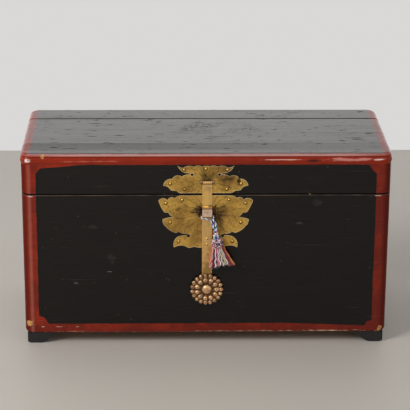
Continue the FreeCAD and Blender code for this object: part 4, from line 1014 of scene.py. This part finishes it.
class CHEST_OT_tassel_cord(bpy.types.Operator):
    """Twist the tassel's cord and hang its head and skirt on it"""
    bl_idname = "chest.tassel_cord"
    bl_label = "Tassel"

    def execute(self, context):
        sizes = context.scene.chest_sizes
        silk = silk_floss("Twisted Silk Floss")
        axes = tassel_frame()
        route = smooth_route("cord_route", in_frame(CORD_ROUTE))
        top = route[-1]
        mesh = twisted_cord("tassel_cord_plies", route, CORD_THICKNESS, sizes)
        cord = place_piece(mesh, silk, "tassel")
        second_route = smooth_route("second_route", in_frame(SECOND_LEG))
        second = twisted_cord("tassel_cord_second_leg", second_route, SECOND_LEG_THICKNESS, sizes)
        extras = [place_piece(second, silk, "tassel")]
        for name, spot, rings in KNOTS:
            extras.append(place_piece(knot(name, in_frame(spot), axes, rings), silk, "tassel"))
        core = place_piece(head_core(top, axes), silk, "tassel")
        loops = place_piece(head_loops(sizes.head_loops, top, axes), silk, "tassel")
        skirt = place_piece(skirt_threads(sizes.lock_threads, top, axes), silk, "tassel")
        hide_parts("tassel_cord")
        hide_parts("tassel_head")
        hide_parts("tassel_skirt")
        return {"FINISHED"}


class CHEST_OT_lacquer(bpy.types.Operator):
    """Paint the boards red and black, the feet black, and leave the bottom bare"""
    bl_idname = "chest.lacquer"
    bl_label = "Lacquer"

    # places and reaches of chips that show the wood
    WALL_CHIPS = [((LEFT_X + 10 * MM, FRONT_Y + 4 * MM, BASE_Z + 21 * MM), 12 * MM),
                  ((RIGHT_X - 13 * MM, FRONT_Y + 3 * MM, BASE_Z + 8 * MM), 12 * MM)]
    LID_CHIPS = [((-0.330, FRONT_Y + 1 * MM, TOP_Z - 6 * MM), 8 * MM)]
    # place, half sizes in millimetres, tone and strength of marks on the walls, and of painted highlights
    # and a dark worn patch on the lid's bead and corners;
    # where the place stands before the face, only broken flecks of the mark are left
    WALL_MARKS = [
        ((-0.337, FRONT_Y, BASE_Z + 15 * MM), (5, 5, 1.3), "ECD2BA", 0.8),
        ((-0.302, FRONT_Y, BASE_Z + 15 * MM), (13, 5, 1.1), "E0C0A8", 0.75),
        ((-0.267, FRONT_Y, BASE_Z + 15 * MM), (4, 5, 1.1), "E0C0A8", 0.75),
        ((-0.280, FRONT_Y - 8 * MM, BASE_Z + 4 * MM), (50, 20, 1.8), "D8A090", 0.65),
        ((0.245, FRONT_Y - 10 * MM, BASE_Z + 4.2 * MM), (110, 20, 2.4), "F0DCB4", 0.95),
        ((0.080, FRONT_Y - 10.5 * MM, BASE_Z + 4.0 * MM), (150, 20, 2.2), "E8CCA0", 0.85),
        ((0.225, FRONT_Y, SEAM_Z - 19 * MM), (11, 5, 11), "8A8078", 0.05),
        ((0.190, FRONT_Y, SEAM_Z - 63 * MM), (8, 5, 3), "A8A098", 0.14),
        ((-0.357, FRONT_Y, SEAM_Z - 4.4 * MM), (11, 12, 1.6), "E8D0C4", 0.7),
        ((0.349, FRONT_Y, SEAM_Z - 4.4 * MM), (9, 12, 1.5), "E4C0B0", 0.65),
        ((-0.191, FRONT_Y, SEAM_Z - 139 * MM), (15, 5, 15), "8A8078", 0.055),
        ((-0.198, FRONT_Y, SEAM_Z - 168 * MM), (11, 5, 1.2), "B0A8A0", 0.3),
        ((-0.269, FRONT_Y, SEAM_Z - 193 * MM), (6, 5, 3), "A8A098", 0.18),
        ((-0.235, FRONT_Y, SEAM_Z - 70 * MM), (18, 5, 6), "8A8078", 0.05),
    ]
    LID_HIGHLIGHTS_AND_MARKS = [
        # painted highlights along the lid's bead: pinkish at the left and right, a pale streak between
        ((-0.235, FRONT_Y - 2 * MM, BEAD_Z - 2 * MM), (78, 8, 2.2), "CF6A58", 0.6),
        ((0.292, FRONT_Y - 2 * MM, BEAD_Z + 1 * MM), (70, 8, 5), "DA9288", 0.75),
        ((0.150, FRONT_Y - 4 * MM, BEAD_Z + 1 * MM), (78, 8, 1.6), "EBC4B8", 0.7),
        # a dark worn patch
        ((0.216, FRONT_Y - 2 * MM, BEAD_Z), (20, 8, 5), "2A1210", 0.85),
        # painted highlights on the front corners; the left one is broken by a red gap
        ((-0.361, FRONT_Y - 5 * MM, BEAD_Z), (10, 14, 5), "F6E8E0", 0.85),
        ((-0.359, FRONT_Y, BEAD_Z), (2.6, 14, 1.7), "8A2A14", 0.9),
        ((0.346, FRONT_Y - 2 * MM, BEAD_Z + 1 * MM), (16, 10, 3.5), "F6E8E0", 0.7),
    ]

    def execute(self, context):
        sizes, colours = context.scene.chest_sizes, context.scene.chest_colours
        low, high = BASE_Z + sizes.base_border, TOP_Z - sizes.top_border
        side = [(1, 0, 0)]
        upper = [(0, -1, high)]
        # the panel's upper left corner is cut off slantwise, and its lower left corner has a cusp
        left = [
            side, upper, [(0, 1, -low), (0, 1, -low)],
            [(1.16, -1, high - 19.2 * MM), (1.16, -1, high - 19.2 * MM)],
            [(0.094, -1, high - 8.5 * MM)],
            [(0.446, 1, -low - 18.4 * MM), (1.7, 1, -low - 32.4 * MM)],
        ]
        # on its right its lower edge falls by 7 mm, and both corners have a cusp
        right = [
            side, upper, [(0, 1, -low), (-0.04, 1, -low + 7 * MM)],
            [(1.34, -1, high - 23.7 * MM), (0.77, -1, high - 19.6 * MM)],
            [(0.05, -1, high - 2 * MM)],
            [(0.28, 1, -low - 5.8 * MM), (2.3, 1, -low - 25.8 * MM)],
        ]
        wall_panel = (0, 0.0, HALF_WIDTH - sizes.side_border, 2, left, right, 0.6 * MM)
        walls = lacquer("Red and Black Lacquer on Walls", colours, wall_panel,
                        self.WALL_CHIPS, self.WALL_MARKS)
        end_panel = (1, MIDDLE_Y, HALF_DEPTH - sizes.side_border, 2, left, left, 0.6 * MM)
        ends = lacquer("Red and Black Lacquer on Ends", colours, end_panel, [], [])
        edge = sizes.lid_edge_border
        top_edges = [side, [(0, 1, -FRONT_Y - edge)], [(0, -1, BACK_Y - edge)]]
        top_panel = (0, 0.0, HALF_WIDTH - sizes.lid_end_border, 1, top_edges, top_edges, 3 * MM)
        top = lacquer("Red and Black Lacquer on Lid", colours, top_panel,
                      self.LID_CHIPS, self.LID_HIGHLIGHTS_AND_MARKS, is_lid=True)
        for box in ("carcase", "lid"):
            finish_nodes(walls, [f"{box}_front", f"{box}_back"])
            finish_nodes(ends, [f"{box}_left_end", f"{box}_right_end"])
        finish_nodes(top, [f"lid_top_plank_{row}" for row in ("front", "middle", "back")])
        finish_nodes(satin_lacquer(colours), [
            f"foot_{end}_{side}" for end in ("front", "back") for side in ("left", "right")])
        finish_nodes(planed_wood(colours), ["bottom_plank_front", "bottom_plank_back"])
        return {"FINISHED"}


class CHEST_OT_plates(bpy.types.Operator):
    """Engrave the butterfly plates and lay dark rings round their nails"""
    bl_idname = "chest.plates"
    bl_label = "Butterfly Plates"

    # places, reaches and strengths of stains, from the bridge and from the pin, in millimetres; beside the
    # bridge they are partly painted shade
    LOWER_SHADE_AND_STAINS = [(-15, 2, 19, 0.4), (14, -10, 38, 0.4)]
    UPPER_STAINS = [(0, 3, 24, 0.34), (44, 2, 44, 0.2)]
    # an old nail's place on the lower plate, and a chip by a nail of the upper one
    LOWER_MARKS = [((-57.5 * MM, PLATE_Y, SEAM_Z - 32 * MM), (8, 9, 7), "6A4C28", 0.7)]
    UPPER_MARKS = [((65 * MM, PLATE_Y, SEAM_Z + 28 * MM), (6, 8, 9), "100B08", 0.95)]

    def execute(self, context):
        colours = context.scene.chest_colours
        below = engraved_brass("Engraved Brass Below", colours, BRIDGE_Z, 11, self.LOWER_SHADE_AND_STAINS,
                               self.LOWER_MARKS, False)
        finish_nodes(below, ["front_plate"])
        above = engraved_brass("Engraved Brass Above", colours, PIN_Z, 9, self.UPPER_STAINS,
                               self.UPPER_MARKS, True)
        finish_nodes(above, ["lid_plate"])
        nails = worn_metal("Domed Brass", colours.brass, colours.tarnish, (1, 1, 1), 3, 0.3)
        finish_nodes(nails, ["front_plate_nails", "lid_plate_nails", "lid_hinge_nails",
                             "carcase_hinge_nails", "strap_rivets"])
        darkening = worn_metal("Darkened Brass", colours.tarnish, colours.black_lacquer, (1, 1, 1), 1, 0.6)
        for body, plate in (("carcase", "front_plate"), ("lid", "lid_plate")):
            collars = nail_collars(f"{plate}_nail_dark_rings", f"{plate}_nails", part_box(plate)[0][1])
            place_piece(collars, darkening, body)
        return {"FINISHED"}


class CHEST_OT_hasp(bpy.types.Operator):
    """Finish the strap, its pin and lugs, the rosette and the rear hinges"""
    bl_idname = "chest.hasp"
    bl_label = "Hasp and Hinges"

    # a bright upper run, a pale patch over the rivets, a scuff and a brown foot, as other marks are given
    STRAP_MARKS = [
        ((HASP_X - 2 * MM, FRONT_Y, SEAM_Z - 8 * MM), (9, 30, 26), "FCCB6C", 0.7),
        ((HASP_X, FRONT_Y, SEAM_Z - 95 * MM), (6, 30, 8), "F0D4A4", 0.7),
        ((HASP_X + 2 * MM, FRONT_Y, SEAM_Z - 130 * MM), (6, 30, 7), "6A4E2C", 0.55),
        ((HASP_X, FRONT_Y, SEAM_Z - 162 * MM), (14, 30, 26), "8A662C", 0.7),
    ]

    def execute(self, context):
        colours = context.scene.chest_colours
        strap = worn_metal("Rubbed Brass", colours.rubbed_brass, colours.tarnish, (1, 1, 0.05), 1.2, 0.34,
                           colours.rose_brass, self.STRAP_MARKS)
        finish_nodes(strap, ["hasp_strap"])
        hinges = worn_metal("Hinge Brass", colours.dull_brass, colours.tarnish, (1, 1, 0.05), 1.2, 0.42)
        brown = worn_metal("Browned Brass", colours.brown_brass, colours.tarnish, (1, 1, 0.3), 1.2, 0.4)
        finish_nodes(brown, ["hasp_eye_left", "hasp_eye_right"])
        dark = worn_metal("Blackened Brass", colours.tarnish, colours.black_lacquer, (1, 1, 0.3), 1.2, 0.45)
        finish_nodes(dark, ["lock_lug_left", "lock_lug_right"])
        finish_nodes(hinges, [
            f"hinge_leaf_{owner}_{side}" for owner in ("lid", "carcase") for side in ("left", "right")])
        iron = worn_metal("Drawn Iron", colours.iron, colours.tarnish, (0.05, 1, 1), 1, 0.4)
        finish_nodes(iron, ["hasp_pin", "hinge_pin_left", "hinge_pin_right"])
        finish_nodes(cast_bronze(colours), ["rosette", "rosette_boss"])
        return {"FINISHED"}


class CHEST_PT_finishes(bpy.types.Panel):
    """Steps of the chest's finishing"""
    bl_idname = "CHEST_PT_finishes"
    bl_label = "Wedding Chest"
    bl_space_type = "VIEW_3D"
    bl_region_type = "UI"
    bl_category = "Chest"

    def draw(self, context):
        for step in STEPS:
            self.layout.operator(step.bl_idname)


STEPS = (CHEST_OT_stage, CHEST_OT_tassel_cord, CHEST_OT_lacquer, CHEST_OT_plates, CHEST_OT_hasp)
CLASSES = (ChestSizes, ChestColours) + STEPS + (CHEST_PT_finishes,)


def register():
    for made in CLASSES:
        bpy.utils.register_class(made)
    bpy.types.Scene.chest_sizes = PointerProperty(type=ChestSizes)
    bpy.types.Scene.chest_colours = PointerProperty(type=ChestColours)


def unregister():
    del bpy.types.Scene.chest_colours
    del bpy.types.Scene.chest_sizes
    for made in reversed(CLASSES):
        bpy.utils.unregister_class(made)


def main():
    register()
    bpy.ops.chest.stage()
    bpy.ops.chest.tassel_cord()
    bpy.ops.chest.lacquer()
    bpy.ops.chest.plates()
    bpy.ops.chest.hasp()


if __name__ == "__main__":
    main()
